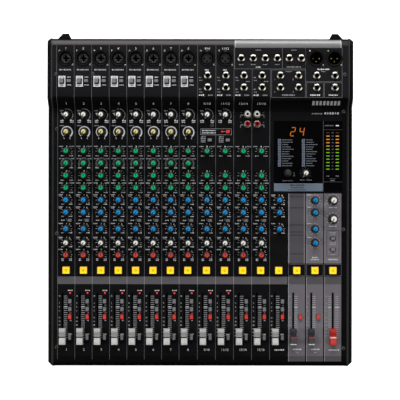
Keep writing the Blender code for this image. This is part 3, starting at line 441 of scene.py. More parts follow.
def numerals(text, u, v, height, ink=LIGHT, incline=0.0):
    """Figures set in the built-in sans face, centred on (u, v), on a surface that rises at an incline."""
    if text not in figures:
        curve = bpy.data.curves.new("figures", "FONT")
        curve.body, curve.size, curve.resolution_u = text, 1.0, 2
        curve.align_x, curve.align_y = "CENTER", "CENTER"
        holder = bpy.data.objects.new("figures", curve)
        mesh = bpy.data.meshes.new_from_object(holder)
        bpy.data.objects.remove(holder)
        corners = np.array([point.co for point in mesh.vertices])
        figures[text] = corners, [list(polygon.vertices) for polygon in mesh.polygons]
    corners, faces = figures[text]
    x, y = corners[:, 0] * height * 1.4, corners[:, 1] * height * 1.4
    lean = cos(incline), sin(incline)
    rise = y * lean[1] + INK * lean[0] + surface(v)
    points = np.stack([x + u, y * lean[0] - INK * lean[1] + v, rise], axis=-1)
    for size in {len(face) for face in faces}:
        print_shell.join(points, [face for face in faces if len(face) == size], ink)


# The lines between the strips, and the ones at the two sides of the channels
dividers = np.array([STRIPS[s] - HALF_STRIP[s] for s in CHANNELS])
bars(dividers, (2 + RISER[0]) / 2, 0.5, RISER[0] - 2, LINE)
ends = ((RISER[0], 0.1), (RISER[1] - 0.1, JACK_PLANE + 0.1))
print_shell.add([[[(u + side, *end) for end in ends] for side in (-0.25, 0.25)] for u in dividers], LINE)
tops = np.array([BEND_START] * 11 + [425.6, 425.6])
bars(dividers, (RISER[1] + tops) / 2, 0.5, tops - RISER[1], LINE)

# The writing strips' light ends, and light edges on the master columns
bars(dividers[1:], sum(WRITING_STRIP) / 2, 0.6, 11.1, GREY, 0, OVER_INK)
for s in MASTERS:
    for span in (MASTER_UPPER, MASTER_LOWER):
        bars(STRIPS[s] - 12.0, sum(span) / 2, 0.5, span[1] - span[0], FAINT, 0, OVER_INK)

# Strip numbers: over the sockets, on the riser's foot and under the faders
NAMES = {s: s[2:].replace("_", "/") for s in MONO + STEREO}
RISER_INCLINE = np.arctan2(JACK_PLANE, RISER[1] - RISER[0])
for s, text in NAMES.items():
    numerals(text, STRIPS[s] + 0.5, 16.1, 3.5)
    numerals(text, STRIPS[s] + 0.5, 375.4, 4.3, LIGHT, RISER_INCLINE)
    if s in MONO + STEREO[:2]:
        numerals(text, STRIPS[s] + 0.6, 454.8, 3.3)
legend(STRIPS["fx_return"] + 1, 16.1, 15, 2.2)

# A row of plain blocks on the riser, and a finer one under it, in the place of names
ends = [(v, surface(v) + 0.09) for v in (373.6, 379.2)]
lefts = 163.0 + 5.3 * np.arange(8)
print_shell.add([[[(u, *end) for end in ends] for u in (left, left + 3.4)] for left in lefts], FAINT)
legend(171.0, 361.6, 16.0, 1.5, GREY, 1)
legend(192.0, 362.2, 22.0, 3.4, FAINT, 2)
for s, text in (("group_1_2", "1-2"), ("group_3_4", "3-4")):
    legend(STRIPS[s] + 0.5, 17.0, 13, 2.0, LIGHT, 3)
    numerals(text, STRIPS[s] + 0.5, 12.4, 2.2)
legend(STRIPS["stereo"] + 1.5, 16.1, 16, 2.2, LIGHT, 5)

# Knob scales. Angles run clockwise from straight up, and a full scale is 150 degrees to each side.
ROWS = {
    name.replace("knob_ch1_", "").replace("_turn", ""): float(
        (np.array(joint["pos_m"]) - FOLD) @ UP_SLOPE * 1000
    )
    for name, joint in joints.items()
    if name.startswith("knob_ch1_")
}
KNOB_OFFSET = 0.6
EQUALISER = ["high", "mid", "low"]
SENDS = ["aux1", "aux2", "aux3", "fx", "pan"]
KNOBS_ON = {s: list(ROWS) for s in MONO}
KNOBS_ON.update({s: ["gain", *EQUALISER, *SENDS] for s in STEREO[:2]})
KNOBS_ON.update({s: [*EQUALISER, *SENDS] for s in STEREO[2:]})
KNOBS_ON["fx_return"] = SENDS[:3]


def scale(u, v, inner, outer, thickness, angles, ink=LIGHT):
    """Ticks pointing at a knob's middle."""
    angles = np.asarray(angles, float)
    middle = (inner + outer) / 2
    place = u + middle * np.sin(np.radians(angles)), v + middle * np.cos(np.radians(angles))
    bars(*place, thickness, outer - inner, ink, angles)


for s, rows in KNOBS_ON.items():
    u = STRIPS[s] + KNOB_OFFSET
    for row in rows:
        v = ROWS[row]
        if row == "gain":
            scale(u, v, 8.2, 9.6, 0.7, np.arange(-15, 136, 15), GREY)
            arc(u, v, 8.6, 9.0, 10, 120, GREY)
            legend(u - 7.6, v + 6.2, 6.0, 1.6, GREY)
            bars([u - 6.6, u - 7.6], [v + 1.3, v + 2.4], [1.2, 2.6], [3.6, 1.0])
            for side in (u - 7.2, u + 7.4):
                legend(side, v - 8.3, 5.8, 1.9, LIGHT, side)
                legend(side, v - 10.6, 5.2, 1.5, LIGHT, v + side)
            scale(u, v, 9.0, 11.4, 1.0, [-140, 140])
        elif row == "comp":
            arc(u, v, 7.0, 9.3, -145, 145, FAINT, INK, 1.3)
            arc(u, v, 7.2, 8.7, -138, 138, LIGHT, OVER_INK, 0.9)
            legend(u - 7.2, v + 9.2, 7.0, 1.5, GREY)
            bars([u - 4.0, u + 4.6], v - 9.2, 1.0, 2.0)
        elif row == "mid_freq":
            scale(u, v, 7.7, 8.9, 0.5, np.arange(-120, 121, 15), FAINT)
            arc(u, v, 6.9, 7.3, -120, 130, GREY)
            legend(u - 7.6, v + 6.9, 6.6, 1.4, FAINT, 1)
            legend(u + 8.4, v + 6.9, 5.0, 1.4, FAINT, 2)
            legend(u - 6.3, v - 6.5, 5.6, 1.4, LIGHT, 3)
            legend(u + 6.6, v - 6.5, 5.2, 1.4, LIGHT, 4)
        elif row in EQUALISER:
            scale(u, v, 6.4, 8.7, 0.5, [-90, -60, 30, 60, 90, 115], FAINT)
            scale(u, v, 5.9, 7.9, 1.1, [0])
            legend(u - 6.2, v - 6.8, 5.4, 1.5, FAINT, 1)
            legend(u + 6.3, v - 6.8, 6.0, 1.5, FAINT, 2)
            if row != "mid":
                ink = LIGHT if row == "low" else FAINT
                legend(u - 8.3, v + 7.0, 6.4, 1.6, ink, 3)
                legend(u + 8.1, v + 7.0, 6.2, 1.5, ink, 4)
        else:
            scale(u, v, 6.4, 8.3, 0.5, [-90, -60, 0, 45, 60, 90, 115])
            legend(u - 8.6, v + 7.6, 6.6, 1.5, LIGHT, 3)
            if row == "pan":
                scale(u, v, 6.4, 8.3, 1.1, [0])
                for height in (-6.2, -8.2):
                    legend(u - 5.8, v + height, 3.6, 1.4, LIGHT, 1)
                    legend(u + 5.6, v + height, 4.2, 1.4, LIGHT, 2)
            else:
                scale(u, v, 7.4, 8.8, 1.3, [31])
                legend(u - 5.8, v - 6.1, 4.0, 1.4, FAINT, 1)
                legend(u + 5.6, v - 6.1, 5.4, 1.4, LIGHT, 2)
                if row != "aux3":
                    legend(u - 9.2, v + 5.6, 4.6, 1.3, FAINT, 5)
STEREO_MIDDLE, SEND_MIDDLE = STRIPS["stereo"], STRIPS["group_3_4"]
for row in SENDS[:4]:
    u, v = SEND_MIDDLE, ROWS[row]
    scale(u, v, 7.4, 8.8, 0.5, np.arange(-150, 151, 30))
    legend(u - 8.0, v + 7.9, 6.0, 1.4, LIGHT, 3)
low_corner, high_corner = map(np.array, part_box("knob_phones_level"))
PHONES_ROW = float((low_corner + high_corner - 2 * FOLD) @ UP_SLOPE * 500)
for v in (ROWS["aux1"], PHONES_ROW):
    scale(STEREO_MIDDLE, v, 8.6, 10.0, 0.5, np.arange(-150, 151, 30))
    legend(STEREO_MIDDLE, v - 10.6, 12, 1.4, LIGHT, 2)

# Fader scales: a ladder of ticks to the right of each slot, and decibels to its left
SLOT_MIDDLE = 65.7
HIGHEST, ZERO = 94.6, 78.6  # the slots' highest setting, and the one that leaves the level as it is
DECIBELS = (
    (HIGHEST, "10"), (84.3, "5"), (ZERO, "0"), (72.9, "5"), (63.0, "10"),
    (57.5, "15"), (52.1, "20"), (46.7, "30"), (41.6, "40"), (36.8, "60"),
)
ladder = np.arange(HIGHEST, 31, -3.03)
for s in CHANNELS + MASTERS:
    left = STRIPS[s] - HALF_STRIP[s]
    if s == "stereo":
        for u in (STRIPS[s] - 4.4, STRIPS[s] + 6.0):
            bars(u, ladder, 4.6, 0.5, FAINT)
        bars([STRIPS[s] - 4.6, STRIPS[s] + 6.4], ZERO, [4.4, 6.6], 0.7)
    else:
        bars(left + 11.9, ladder, 5.2, 0.6, FAINT)
        bars(left + 11.9, ZERO, 5.6, 0.7)
    for v, text in DECIBELS:
        numerals(text, left + (3.6 if s == "stereo" else 2.9), v, 1.8, FAINT if s in MASTERS else LIGHT)
    if s in CHANNELS:
        legend(left + 18.4, 38.9, 5.4, 1.3, LIGHT, 3)
        numerals("1-2", left + 19.1, 81.2, 1.5, LIGHT)
        numerals("3-4", left + 19.1, 69.8, 1.5, LIGHT)
        legend(left + 19.1, 58.9, 2.6, 1.4)
for s in MONO + STEREO[:2]:
    legend(STRIPS[s] + 5.9, 102.8, 7.0, 1.5, LIGHT, 1)
for s in MONO + STEREO:
    legend(STRIPS[s] - 5.0, 205.4, 5.4, 1.5, LIGHT, 2)
    bars(STRIPS[s] + 0.6, 206.4, 0.6, 3.6, GREY)
bars(np.array([STRIPS[s] + 1.2 for s in MONO + STEREO]), 205.4, 1.6, 0.5, GREY)

# The socket panel's print. Heights are given up the slope, as everywhere on the panel.
for s in MONO:
    legend(STRIPS[s] - 0.2, 424.0, 17.5, 2.1, FAINT, 1)
    u, v = STRIPS[s] - 5.1, 407.2
    bars(u, v, 10.2, 15.6)
    bars(u, v + 0.1, 7.4, 8.6, DARK, 0, INK + 0.05)
    legend(u, v + 6.0, 5.6, 1.5, DARK, 2, 2 * INK)
    legend(u, v - 5.9, 6.2, 1.5, DARK, 3, 2 * INK)
    legend(STRIPS[s] + 5.0, 413.4, 5.4, 1.5, LIGHT, 4)
    legend(STRIPS[s] + 5.2, 402.0, 6.6, 1.5, LIGHT, 5)
for s in STEREO:
    u = STRIPS[s]
    if s in STEREO[:2]:
        legend(u, 424.0, 6.0, 1.8)
    legend(u - 7.6, 387.4, 8.0, 2.2, LIGHT, 2)
    legend(u + 5.4, 387.4, 7.4, 1.8, GREY, 3)
    for v in (413.0, 396.0):
        legend(u - 9.4, v, 3.6, 1.4, GREY, 1)
        legend(u - 8.6, v - 4.2, 4.6, 1.4, GREY, 2)
top, middle, foot = 456.4, 425.6, 384.2
for left, right, bottom, top in (
    (49.8, 118.9, middle, top), (118.9, 152.6, middle, top), (152.6, 205.8, 407.2, top),
    (103.4, 152.4, foot, 424.0), (154.2, 178.6, foot, 405.6), (180.0, 205.8, foot, 405.6),
):
    outline(left, right, bottom, top, 0.6)
for u, v, width, height, ink in (
    (83.8, 428.2, 7, 1.8, LIGHT), (83.8, 452.8, 8, 1.2, GREY), (135.6, 428.4, 21, 1.8, GREY),
    (135.6, 452.8, 8, 1.2, GREY), (178.6, 425.0, 18, 2.2, LIGHT), (178.6, 421.9, 6, 1.4, GREY),
    (128.0, 387.6, 19, 2.2, GREY), (166.4, 387.6, 15, 2.4, LIGHT), (192.8, 387.6, 14, 2.0, LIGHT),
    (128.0, 421.6, 9, 1.2, GREY), (69.0, 407.2, 6, 1.4, GREY), (95.4, 407.2, 6, 1.4, GREY),
):
    legend(u, v, width, height, ink, u)
for n in range(4):
    legend(59.3 + 17.45 * n, 432.0, 7.0, 1.4, GREY, n)
for text, u, v in (("1", 108, 410), ("2", 134.6, 410), ("3", 108, 392), ("4", 134.6, 392)):
    numerals(text, u, v, 1.8)

# Dark edges on the master faders' slots, and thin frames round the masters' ON keys
for s in MASTERS:
    slot_middle = STRIPS[s] + (0 if s == "stereo" else FADER_OFFSET)
    bars([slot_middle - 1.4, slot_middle + 1.4], SLOT_MIDDLE, 0.5, 69.6, DARK, 0, OVER_INK)
    outline(STRIPS[s] - 12.0, STRIPS[s] + 12.3, 124.6, 141.4, 0.5)

# The phantom power frame, the low-cut labels under it, and the brackets beside the phono sockets
outline(STRIPS["ch9_10"] - 8.6, STRIPS["ch11_12"] + 10.0, 330.6, 339.4, 0.5, GREY)
for v, seed in ((336.8, 1), (333.4, 4)):
    legend(STRIPS["ch9_10"] + 3.2, v, 20, 1.7, LIGHT, seed)
PHANTOM_ROW = 335.2
bars(STRIPS["ch11_12"] - 1.0, PHANTOM_ROW, 3.0, 0.5)
for s in STEREO[:2]:
    for k in range(4):
        legend(STRIPS[s] - 5.0, 327.6 - 2.5 * k, 7.2, 1.6, GREY, k)
PHONO_COLUMNS, PHONO_ROWS = (69.0, 82.9), (360.6, 346.3)
for v in PHONO_ROWS:
    for u, side in zip(PHONO_COLUMNS, (-1, 1)):
        legend(u + side * 8.0, v - 1.0, 3.0, 1.5, GREY, u)
        bars(u + side * 10.2, v - 3.0, 0.5, 4.0, GREY)
        bars(u + side * 9.4, v + 2.6, 1.6, 0.5, GREY)

# The master section's boxes and legends
outline(STEREO_MIDDLE - 9.0, STEREO_MIDDLE + 9.0, 153.4, 191.0, 0.7, DARK)
MONITOR_ROWS = (179.2, 163.1)
for v in MONITOR_ROWS:
    bars(STEREO_MIDDLE, v, 4.6, 5.4, DARK)
    arc(STEREO_MIDDLE - 2.3, v, 0.01, 2.7, 180, 360, DARK)
    arc(STEREO_MIDDLE + 2.3, v, 0.01, 2.7, 0, 180, DARK)
box_words = ((188.0, 9.0), (185.6, 6.0), (173.6, 8.6), (171.0, 9.6), (155.6, 7.0))
for seed, (v, width) in enumerate(box_words, 1):
    legend(STEREO_MIDDLE, v, width, 1.3, FAINT, seed)
legend(STEREO_MIDDLE, 148.4, 14.0, 1.8, LIGHT, 6)
legend(SEND_MIDDLE, 151.2, 8.0, 1.7, LIGHT, 1)
legend(SEND_MIDDLE, 148.2, 12.0, 1.7, LIGHT, 2)

INKS = {"light": (0.50, 0.50, 0.50), "mid": (0.21, 0.21, 0.22), "faint": (0.30, 0.30, 0.315),
        "black": (0.016, 0.016, 0.018), "line": (0.082, 0.082, 0.088)}
inks = []
for name, colour in INKS.items():
    ink = Finish("ink_" + name, colour, 0.6, gloss=0.25)
    worn = ink.noise(0.7, 3.0)
    thin, full = tuple(0.72 * c + 0.004 for c in colour), tuple(1.18 * c for c in colour)
    ink.put("Base Color", ink.blend(worn, thin, full))
    ink.put("Roughness", 0.52 + worn * 0.16)
    inks.append(ink)
print_shell.make("panel_print", "console", inks, "textured_black_steel")

# ------------------------------------------------------------------------------------------------
# The cheeks are moulded in black plastic and close the two ends of the case. Each runs on behind it
# as a bumper. Black cross-head screws hold the panel and the cheeks to the case.


def moulding(name, colour, roughness, size_mm=0.7, depth_mm=0.03, gloss=0.4, **constants):
    """Moulded plastic: a fine spark-eroded grain, faintly uneven in colour and in gloss."""
    finish = Finish(name, colour, roughness, gloss, **constants)
    slow, fine = finish.noise(9, 3.0), finish.noise(size_mm, 2.0)
    finish.put("Base Color", finish.shades(slow * 0.6 + fine * 0.4, colour, 0.82, 1.1))
    finish.put("Roughness", fine * 0.12 + slow * 0.08 + (roughness - 0.10))
    return finish.grain(fine, 0.3, depth_mm)


cheek_plastic = moulding("cheek_plastic", (0.0016, 0.0016, 0.0018), 0.5, 0.9, 0.06, 0.05)
# Painted highlight: a lighter line along the top of each cheek's inner edge
side = cheek_plastic.along(RIGHT)
ridge = side.within(-216.6, -215.0) + side.within(215.0, 216.6)
lip_highlight = ridge * (cheek_plastic.along(OUTWARD, FOLD) > -1.0) * 0.8
plain = cheek_plastic.given["Base Color"]
cheek_plastic.put("Base Color", cheek_plastic.blend(lip_highlight, plain, (0.055, 0.055, 0.057)))
refinished("left_cheek", "cheek_shell_left", cheek_plastic, 22)
refinished("right_cheek", "cheek_shell_right", cheek_plastic, 22)


def turned(profile, sides, flutes=0, depth=0.0):
    """A surface turned about w: (radius, w) points carried round in equal steps. Where a point has
    a third number, cosine flutes of this depth press it in, as a share of its radius."""
    rows = np.array([(*point, 0)[:3] for point in profile], float)
    angle = np.arange(sides) * 2 * pi / sides
    fluted = 1 - depth * (0.5 - 0.5 * np.cos(flutes * angle))
    radius = rows[:, :1] * np.where(rows[:, 2:] > 0, fluted, 1.0)
    height = np.broadcast_to(rows[:, 1:2], radius.shape)
    return np.stack([radius * np.cos(angle), radius * np.sin(angle), height], axis=-1)


def rounded(width, length, corner, levels, steps=4):
    """Outlines of a rounded rectangle, one at each (inset, w); an inset of None is its middle."""
    angle = np.concatenate([np.linspace(0, pi / 2, steps) + n * pi / 2 for n in range(4)])
    side = np.repeat([[1, 1], [-1, 1], [-1, -1], [1, -1]], steps, axis=0)
    rings = []
    for inset, height in levels:
        soft = max(corner - (inset or 0), 0.05)
        half = np.array([width / 2, length / 2]) - (inset or 0) - soft
        spot = side * half + soft * np.stack([np.cos(angle), np.sin(angle)], axis=-1)
        spot = spot if inset is not None else np.zeros_like(spot)
        rings.append(np.column_stack([spot, np.full(len(angle), height)]))
    return np.array(rings)


def copies(shape, places, level=0.0, turns=0.0):
    """A grid repeated at each (u, v), lifted to a level and turned anticlockwise in degrees."""
    places = np.atleast_2d(np.asarray(places, float))
    turns = np.radians(np.broadcast_to(turns, len(places)))[:, None, None]
    x, y, z = np.moveaxis(shape, -1, 0)
    u = x * np.cos(turns) - y * np.sin(turns) + places[:, 0, None, None]
    v = x * np.sin(turns) + y * np.cos(turns) + places[:, 1, None, None]
    return np.stack([u, v, np.broadcast_to(z + level, u.shape)], axis=-1)


screw_head = [(0, 0.35), (0.5, 0.35), (1.7, 0.75), (2.3, 0.6), (2.75, 0.15), (2.8, 0)]
# The dark cross is painted shade: it stands for the screws' cross-head recess
cross = rounded(2.6, 0.55, 0.1, [(None, 0.86), (0, 0.86), (0, 0.3)], 2)
screws = Shell()
EDGE = 209.6
low_screws = [(-EDGE, v) for v in (338.7, 186, 19.5)] + [(EDGE, v) for v in (364.7, 192.4, 18.5)]
low_screws.append((17.2, 344.5))
high_screws = [(-EDGE, 417.5), (EDGE, 417.5), (-156.4, 418.0), (-55.2, 418.0)]
for level, places in ((0.05, low_screws), (JACK_PLANE + 0.05, high_screws)):
    screws.add(copies(turned(screw_head, 20), places, level), 0, True)
    for turn in (35, 125):
        screws.add(copies(cross, places, level - 0.1, turn), 1, True)
black_zinc = Finish("black_zinc", (0.035, 0.034, 0.036), 0.4, Metallic=0.7)
patina = black_zinc.noise(0.8, 3.0)
black_zinc.put("Roughness", 0.3 + patina * 0.25)
black_zinc.put("Base Color", black_zinc.blend(patina, (0.025, 0.025, 0.027), (0.06, 0.058, 0.056)))
# Black of the fader tracks and socket insides; as screw crosses, slots and hole floors it is painted shade
black_and_hole_shade = moulding("recess_black", (0.0016, 0.0016, 0.0016), 0.7, 0.8, 0.02, 0.05)
screws.make("panel_screws", "console", [black_zinc, black_and_hole_shade], "jack_metal")

# ------------------------------------------------------------------------------------------------
# Under the panel lie three green laminate boards. They carry the pots, the switches, the slide
# tracks and the sockets, and their soldered parts reach up through the panel's holes.

laminate = Finish("green_laminate", (0.012, 0.060, 0.022), 0.35)
weave = laminate.along(RIGHT).wave(1.6) * 0.5 + laminate.along(UP_SLOPE).wave(1.6) * 0.5
traces = laminate.noise(6, 1.0, (4, 1, 1)) > 0.55
laminate.put("Base Color", laminate.blend(traces * 0.7, (0.010, 0.050, 0.020), (0.030, 0.105, 0.040)))
laminate.put("Roughness", 0.28 + weave * 0.14)
laminate.grain(traces, 0.4, 0.05)
component_grey = moulding("component_grey", (0.10, 0.10, 0.10), 0.5)


def block(width, length, bottom, top, corner=0.4):
    """A closed block with rounded corners, centred on the place where it is copied."""
    levels = [(None, top), (0.3, top), (0, top - 0.3), (0, bottom), (None, bottom)]
    return rounded(width, length, corner, levels, 3)


CONTROL_BOARD, FADER_BOARD, JACK_BOARD = (126, 367), (4, 124.5), (388.5, 457)
BOARD_WIDTH = 1000 * (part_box("control_board")[1].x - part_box("control_board")[0].x)
boards = Shell()
for (near, far), top in ((CONTROL_BOARD, -14.0), (FADER_BOARD, -14.0)):
    boards.add(copies(block(BOARD_WIDTH, far - near, top - 1.6, top), [(0, (near + far) / 2)]), 0, True)
knob_places = {s: [(STRIPS[s] + KNOB_OFFSET, ROWS[row]) for row in rows] for s, rows in KNOBS_ON.items()}
pots = [place for places in knob_places.values() for place in places]
pots += [(SEND_MIDDLE, ROWS[row]) for row in SENDS[:4]]
pots += [(STEREO_MIDDLE, ROWS["aux1"]), (STEREO_MIDDLE, PHONES_ROW)]
boards.add(copies(block(9.5, 9.5, -14.3, -8.0), pots), 1, True)
tracks = [(STRIPS[s] + (0 if s == "stereo" else FADER_OFFSET), SLOT_MIDDLE) for s in CHANNELS + MASTERS]
for side in (-1, 1):
    rail = [(u + side * 3.1, v) for u, v in tracks]
    boards.add(copies(block(2.8, 82, -14.3, -6.5), rail), 2, True)
boards.add(copies(block(3.4, 68, -14.3, -12.4), tracks), 2, True)
boards.make("boards", "console", [laminate, component_grey, black_and_hole_shade], "board_laminate",
            ["control_board", "fader_board"])

# ------------------------------------------------------------------------------------------------
# The sockets. The XLR ones are black glass-filled nylon with two small plated screws each, the
# quarter-inch ones are nickel-plated with a hex nut, and the phono ones have coloured inserts.

XLR_ROW = RISER[1] + 58.5
UPPER_JACKS = [(59.3 + 17.45 * n, XLR_ROW) for n in range(6)]
JACK_COLUMNS = [STRIPS[s] + 1.3 for s in STEREO + ["fx_return"] + MASTERS]
jack_places = UPPER_JACKS + [(u, v) for v in (416.0, 398.6) for u in JACK_COLUMNS]
COMBOS = [(STRIPS[s] + 0.6, XLR_ROW) for s in MONO]
FEMALES = [(STRIPS[s] + 0.6, XLR_ROW) for s in STEREO[:2]]
MALES = [(STRIPS[s] + 0.6, XLR_ROW) for s in ("group_3_4", "stereo")]


def plating(name, colour, roughness, size_mm=0.5, **constants):
    """Plated metal: fine scratches one way, and slow patches that are duller and browner."""
    finish = Finish(name, colour, roughness, Metallic=1.0, **constants)
    scratches, stain = finish.noise(size_mm, 2.0, (5, 1, 1)), finish.noise(4, 3.0)
    dull = tuple(c * f for c, f in zip(colour, (0.80, 0.77, 0.70)))
    finish.put("Base Color", finish.blend(stain, colour, dull))
    finish.put("Roughness", scratches * 0.2 + stain * 0.12 + (roughness - 0.15))
    return finish.grain(scratches, 0.15, 0.01)


nickel = plating("nickel_plate", (0.40, 0.378, 0.342), 0.30)
gold = plating("gold_plate", (0.75, 0.55, 0.24), 0.30)
nylon = moulding("socket_nylon", (0.003, 0.003, 0.0032), 0.4, 0.5, 0.03, 0.12)
nylon_face = moulding("socket_face", (0.016, 0.016, 0.0165), 0.36, 0.5, 0.04, 0.35)
combo_face = moulding("combo_face", (0.0095, 0.0095, 0.010), 0.34, 0.5, 0.04, 0.35)
sockets = Shell()
NICKEL, GOLD, NYLON, FACE, HOLE, BOARD, ZINC, COMBO_FACE = range(8)


def fit(shape, places, tone, turn=0.0):
    """Copies of a closed grid on the socket panel."""
    sockets.add(copies(shape, places, JACK_PLANE, turn), tone, True)


def star_rings(levels):
    """A four-pointed hole's outline at each (size, w): the radius falls from the points to the
    hollows as a power of the cosine of twice the angle."""
    angle = np.arange(48) * 2 * pi / 48
    shape = 0.46 + 0.54 * np.abs(np.cos(2 * angle)) ** 1.5
    rings = []
    for size, height in levels:
        radius = size * shape if size > 0 else np.full(48, -size)
        rings.append(np.column_stack([radius * np.cos(angle), radius * np.sin(angle), 0 * angle + height]))
    return np.array(rings)


rim = [(9.3, -4.4), (9.35, -0.6), (9.6, 0.9), (10.2, 1.15), (11.2, 1.0), (11.6, 0.5), (11.6, -5.0)]
every_xlr = COMBOS + FEMALES + MALES
fit(turned(rim, 40), every_xlr, NYLON)
star_levels = [(5.0, -9.5), (5.0, -4.2), (5.3, -3.4)]
star_levels += [(-6.2, -2.6), (-7.6, -2.9), (-8.6, -3.8), (-9.2, -4.9)]
fit(star_rings(star_levels), COMBOS, COMBO_FACE)
# A dark disc at the foot of each combo bore: painted shade
fit(turned([(0, -9.4), (5.2, -9.4)], 24), COMBOS, HOLE)
face = [(0, -3.9), (5.0, -3.9), (7.3, -4.0), (7.5, -4.3)]
fit(turned(face, 40), FEMALES, FACE)
fit(turned([(7.5, -4.3), (7.6, -6.0), (9.2, -6.0), (9.3, -4.4)], 40), FEMALES, HOLE)
pin_hole = turned([(0, -3.8), (1.2, -3.8), (1.6, -3.75), (1.8, -3.95)], 16)
bore_wall = turned([(0, -13.6), (9.1, -13.6), (9.3, -4.4)], 40)
fit(bore_wall, MALES, HOLE)
pin = turned([(0, -3.6), (0.7, -3.8), (1.15, -4.6), (1.18, -5.4)], 14)
stem = turned([(1.18, -5.4), (1.2, -13.6)], 14)
for angle in (0, pi, 1.5 * pi):
    shift = np.array([cos(angle), sin(angle)]) * 4.3
    fit(pin_hole, FEMALES + shift, HOLE)
    fit(pin, MALES + shift, GOLD)
    fit(stem, MALES + shift, NYLON)
latch = rounded(4.2, 3.0, 0.6, [(None, 1.5), (0.4, 1.5), (0, 1.2), (0, -1)], 3)
fit(latch, [(u, v + 10.1) for u, v in FEMALES], FACE)
small_head = turned([(0, 0.4), (0.3, 0.4), (0.7, 0.75), (1.1, 0.6), (1.35, 0.1)], 14)
slot = rounded(1.6, 0.45, 0.1, [(None, 0.82), (0, 0.82), (0, 0.5)], 2)
ears = [(u + x, v + y) for u, v in every_xlr for x, y in ((-9.3, 10.6), (9.8, -9.9))]
fit(small_head, ears, NICKEL)
# The ear screws' dark slots are painted shade
fit(slot, ears, HOLE, 28)
fit(slot, ears, HOLE, 118)
washer = turned([(4.0, 0.4), (6.0, 0.4), (6.15, 0.25), (6.15, 0.02)], 28)
nut = [(3.7, 1.7), (3.9, 2.15), (4.7, 1.95), (5.25, 1.65), (5.6, 1.2), (5.7, 0.3)]
hex_rows = turned([(r, w, 1) if r > 5.3 else (r, w) for r, w in nut], 36, 6, 0.10)
bushing = turned([(0, -12), (3.18, -12), (3.2, 2.2), (3.4, 2.45), (3.7, 2.3), (3.75, 1.9)], 28)
fit(washer, jack_places, ZINC)
for k, turn in enumerate((8, 23, 41)):
    fit(hex_rows, jack_places[k::3], NICKEL, turn)
fit(bushing[1:4], jack_places, HOLE)
fit(bushing[3:], jack_places, NICKEL)
for angle in (28, 152, 270):
    notch = block(3.2, 2.0, 0.4, 2.2, 0.2) + (0, 5.1, 0)
    fit(notch, jack_places, NYLON, angle - 90)
# A dark disc down each jack's bore: painted shade
fit(turned([(0, -5.0), (3.19, -5.0)], 28), jack_places, HOLE)
first, last = JACK_BOARD
sockets.add(copies(block(BOARD_WIDTH, last - first, -11.6, -10.0), [(0, (first + last) / 2)]), BOARD, True)
socket_finishes = [nickel, gold, nylon, nylon_face, black_and_hole_shade, laminate, black_zinc, combo_face]
sockets.make("sockets", "console", socket_finishes, "jack_metal", ["jack_board"])

white_insert = moulding("insert_white", (0.50, 0.49, 0.47), 0.4, gloss=0.15)
red_insert = moulding("insert_red", (0.26, 0.010, 0.014), 0.4, gloss=0.15)
phono = Shell()
PHONO = {tone: [(u, v) for u in PHONO_COLUMNS] for tone, v in enumerate(PHONO_ROWS, 1)}
flange = [(4.2, 0.5), (4.8, 0.6), (5.2, 0.45), (5.3, 0.02)]
barrel = [(3.65, 7.6), (3.7, 8.2), (3.9, 8.45), (4.12, 8.3), (4.2, 7.8), (4.2, 0.1)]
# The dark hollow in each phono socket's middle is painted shade
hollow = [(0, -1.0), (2.0, -1.0), (2.05, 7.9)]
insert = [(2.05, 7.9), (2.2, 8.25), (3.3, 8.2), (3.65, 7.9)]
for profile, sides, tone in ((flange, 28, 0), (barrel, 32, 0), (hollow, 20, 3)):
    phono.add(copies(turned(profile, sides), PHONO[1] + PHONO[2]), tone, True)
for tone, spots in PHONO.items():
    phono.add(copies(turned(insert, 32), spots), tone, True)
phono.make("phono_sockets", "console", [nickel, white_insert, red_insert, black_and_hole_shade], "jack_metal")

# ------------------------------------------------------------------------------------------------
# Push switches are small moulded caps in square holes: grey for routing and filters, red for the
# stereo bus and phantom power. The large ON keys are clear yellow, lit from inside.

key_grey = moulding("key_grey", (0.12, 0.121, 0.130), 0.5, 0.5, 0.03, 0.4)
key_red = moulding("key_red", (0.46, 0.022, 0.016), 0.4, 0.5, 0.03, 0.5)
key_yellow = Finish("key_yellow", (0.85, 0.54, 0.008), 0.35, gloss=0.4)
glow = key_yellow.noise(7, 1.0)
key_yellow.put("Base Color", key_yellow.blend(glow, (0.86, 0.57, 0.005), (0.80, 0.49, 0.006)))
key_yellow.put("Emission Color", key_yellow.blend(glow, (0.93, 0.63, 0.002), (0.88, 0.54, 0.001)))
key_yellow.put("Emission Strength", 0.28).grain(key_yellow.noise(0.4, 1.0), 0.2, 0.02)
key_rim = moulding("key_rim", (0.62, 0.36, 0.12), 0.3, 0.5, 0.02, 0.5)
key_rim.put("Emission Color", (0.9, 0.40, 0.08, 1)).put("Emission Strength", 0.18)
key_mark = moulding("key_mark", (0.15, 0.11, 0.008), 0.5, gloss=0.1)
KEYS = [key_grey, key_red, key_yellow, key_rim, key_mark]


def key(width, length, top):
    """A push switch's cap: a soft-edged top, dished a little, on straight walls."""
    dish = [(None, top - 0.25), (width * 0.30, top - 0.18), (width * 0.16, top)]
    wall = [(0.25, top - 0.12), (0, top - 0.5), (0, -5.8)]
    return rounded(width, length, 0.7, dish + wall, 4)


def ring(inner, outer, height, sides=20, gap=0.0):
    """A flat ring facing outwards, open at the top by a gap in degrees."""
    angle = np.radians(np.linspace(90 + gap, 450 - gap, sides))[None, :, None]
    radius = np.array([inner, outer])[:, None, None]
    sides = radius * np.cos(angle), radius * np.sin(angle), 0 * radius * angle + height
    return np.concatenate(sides, axis=-1)


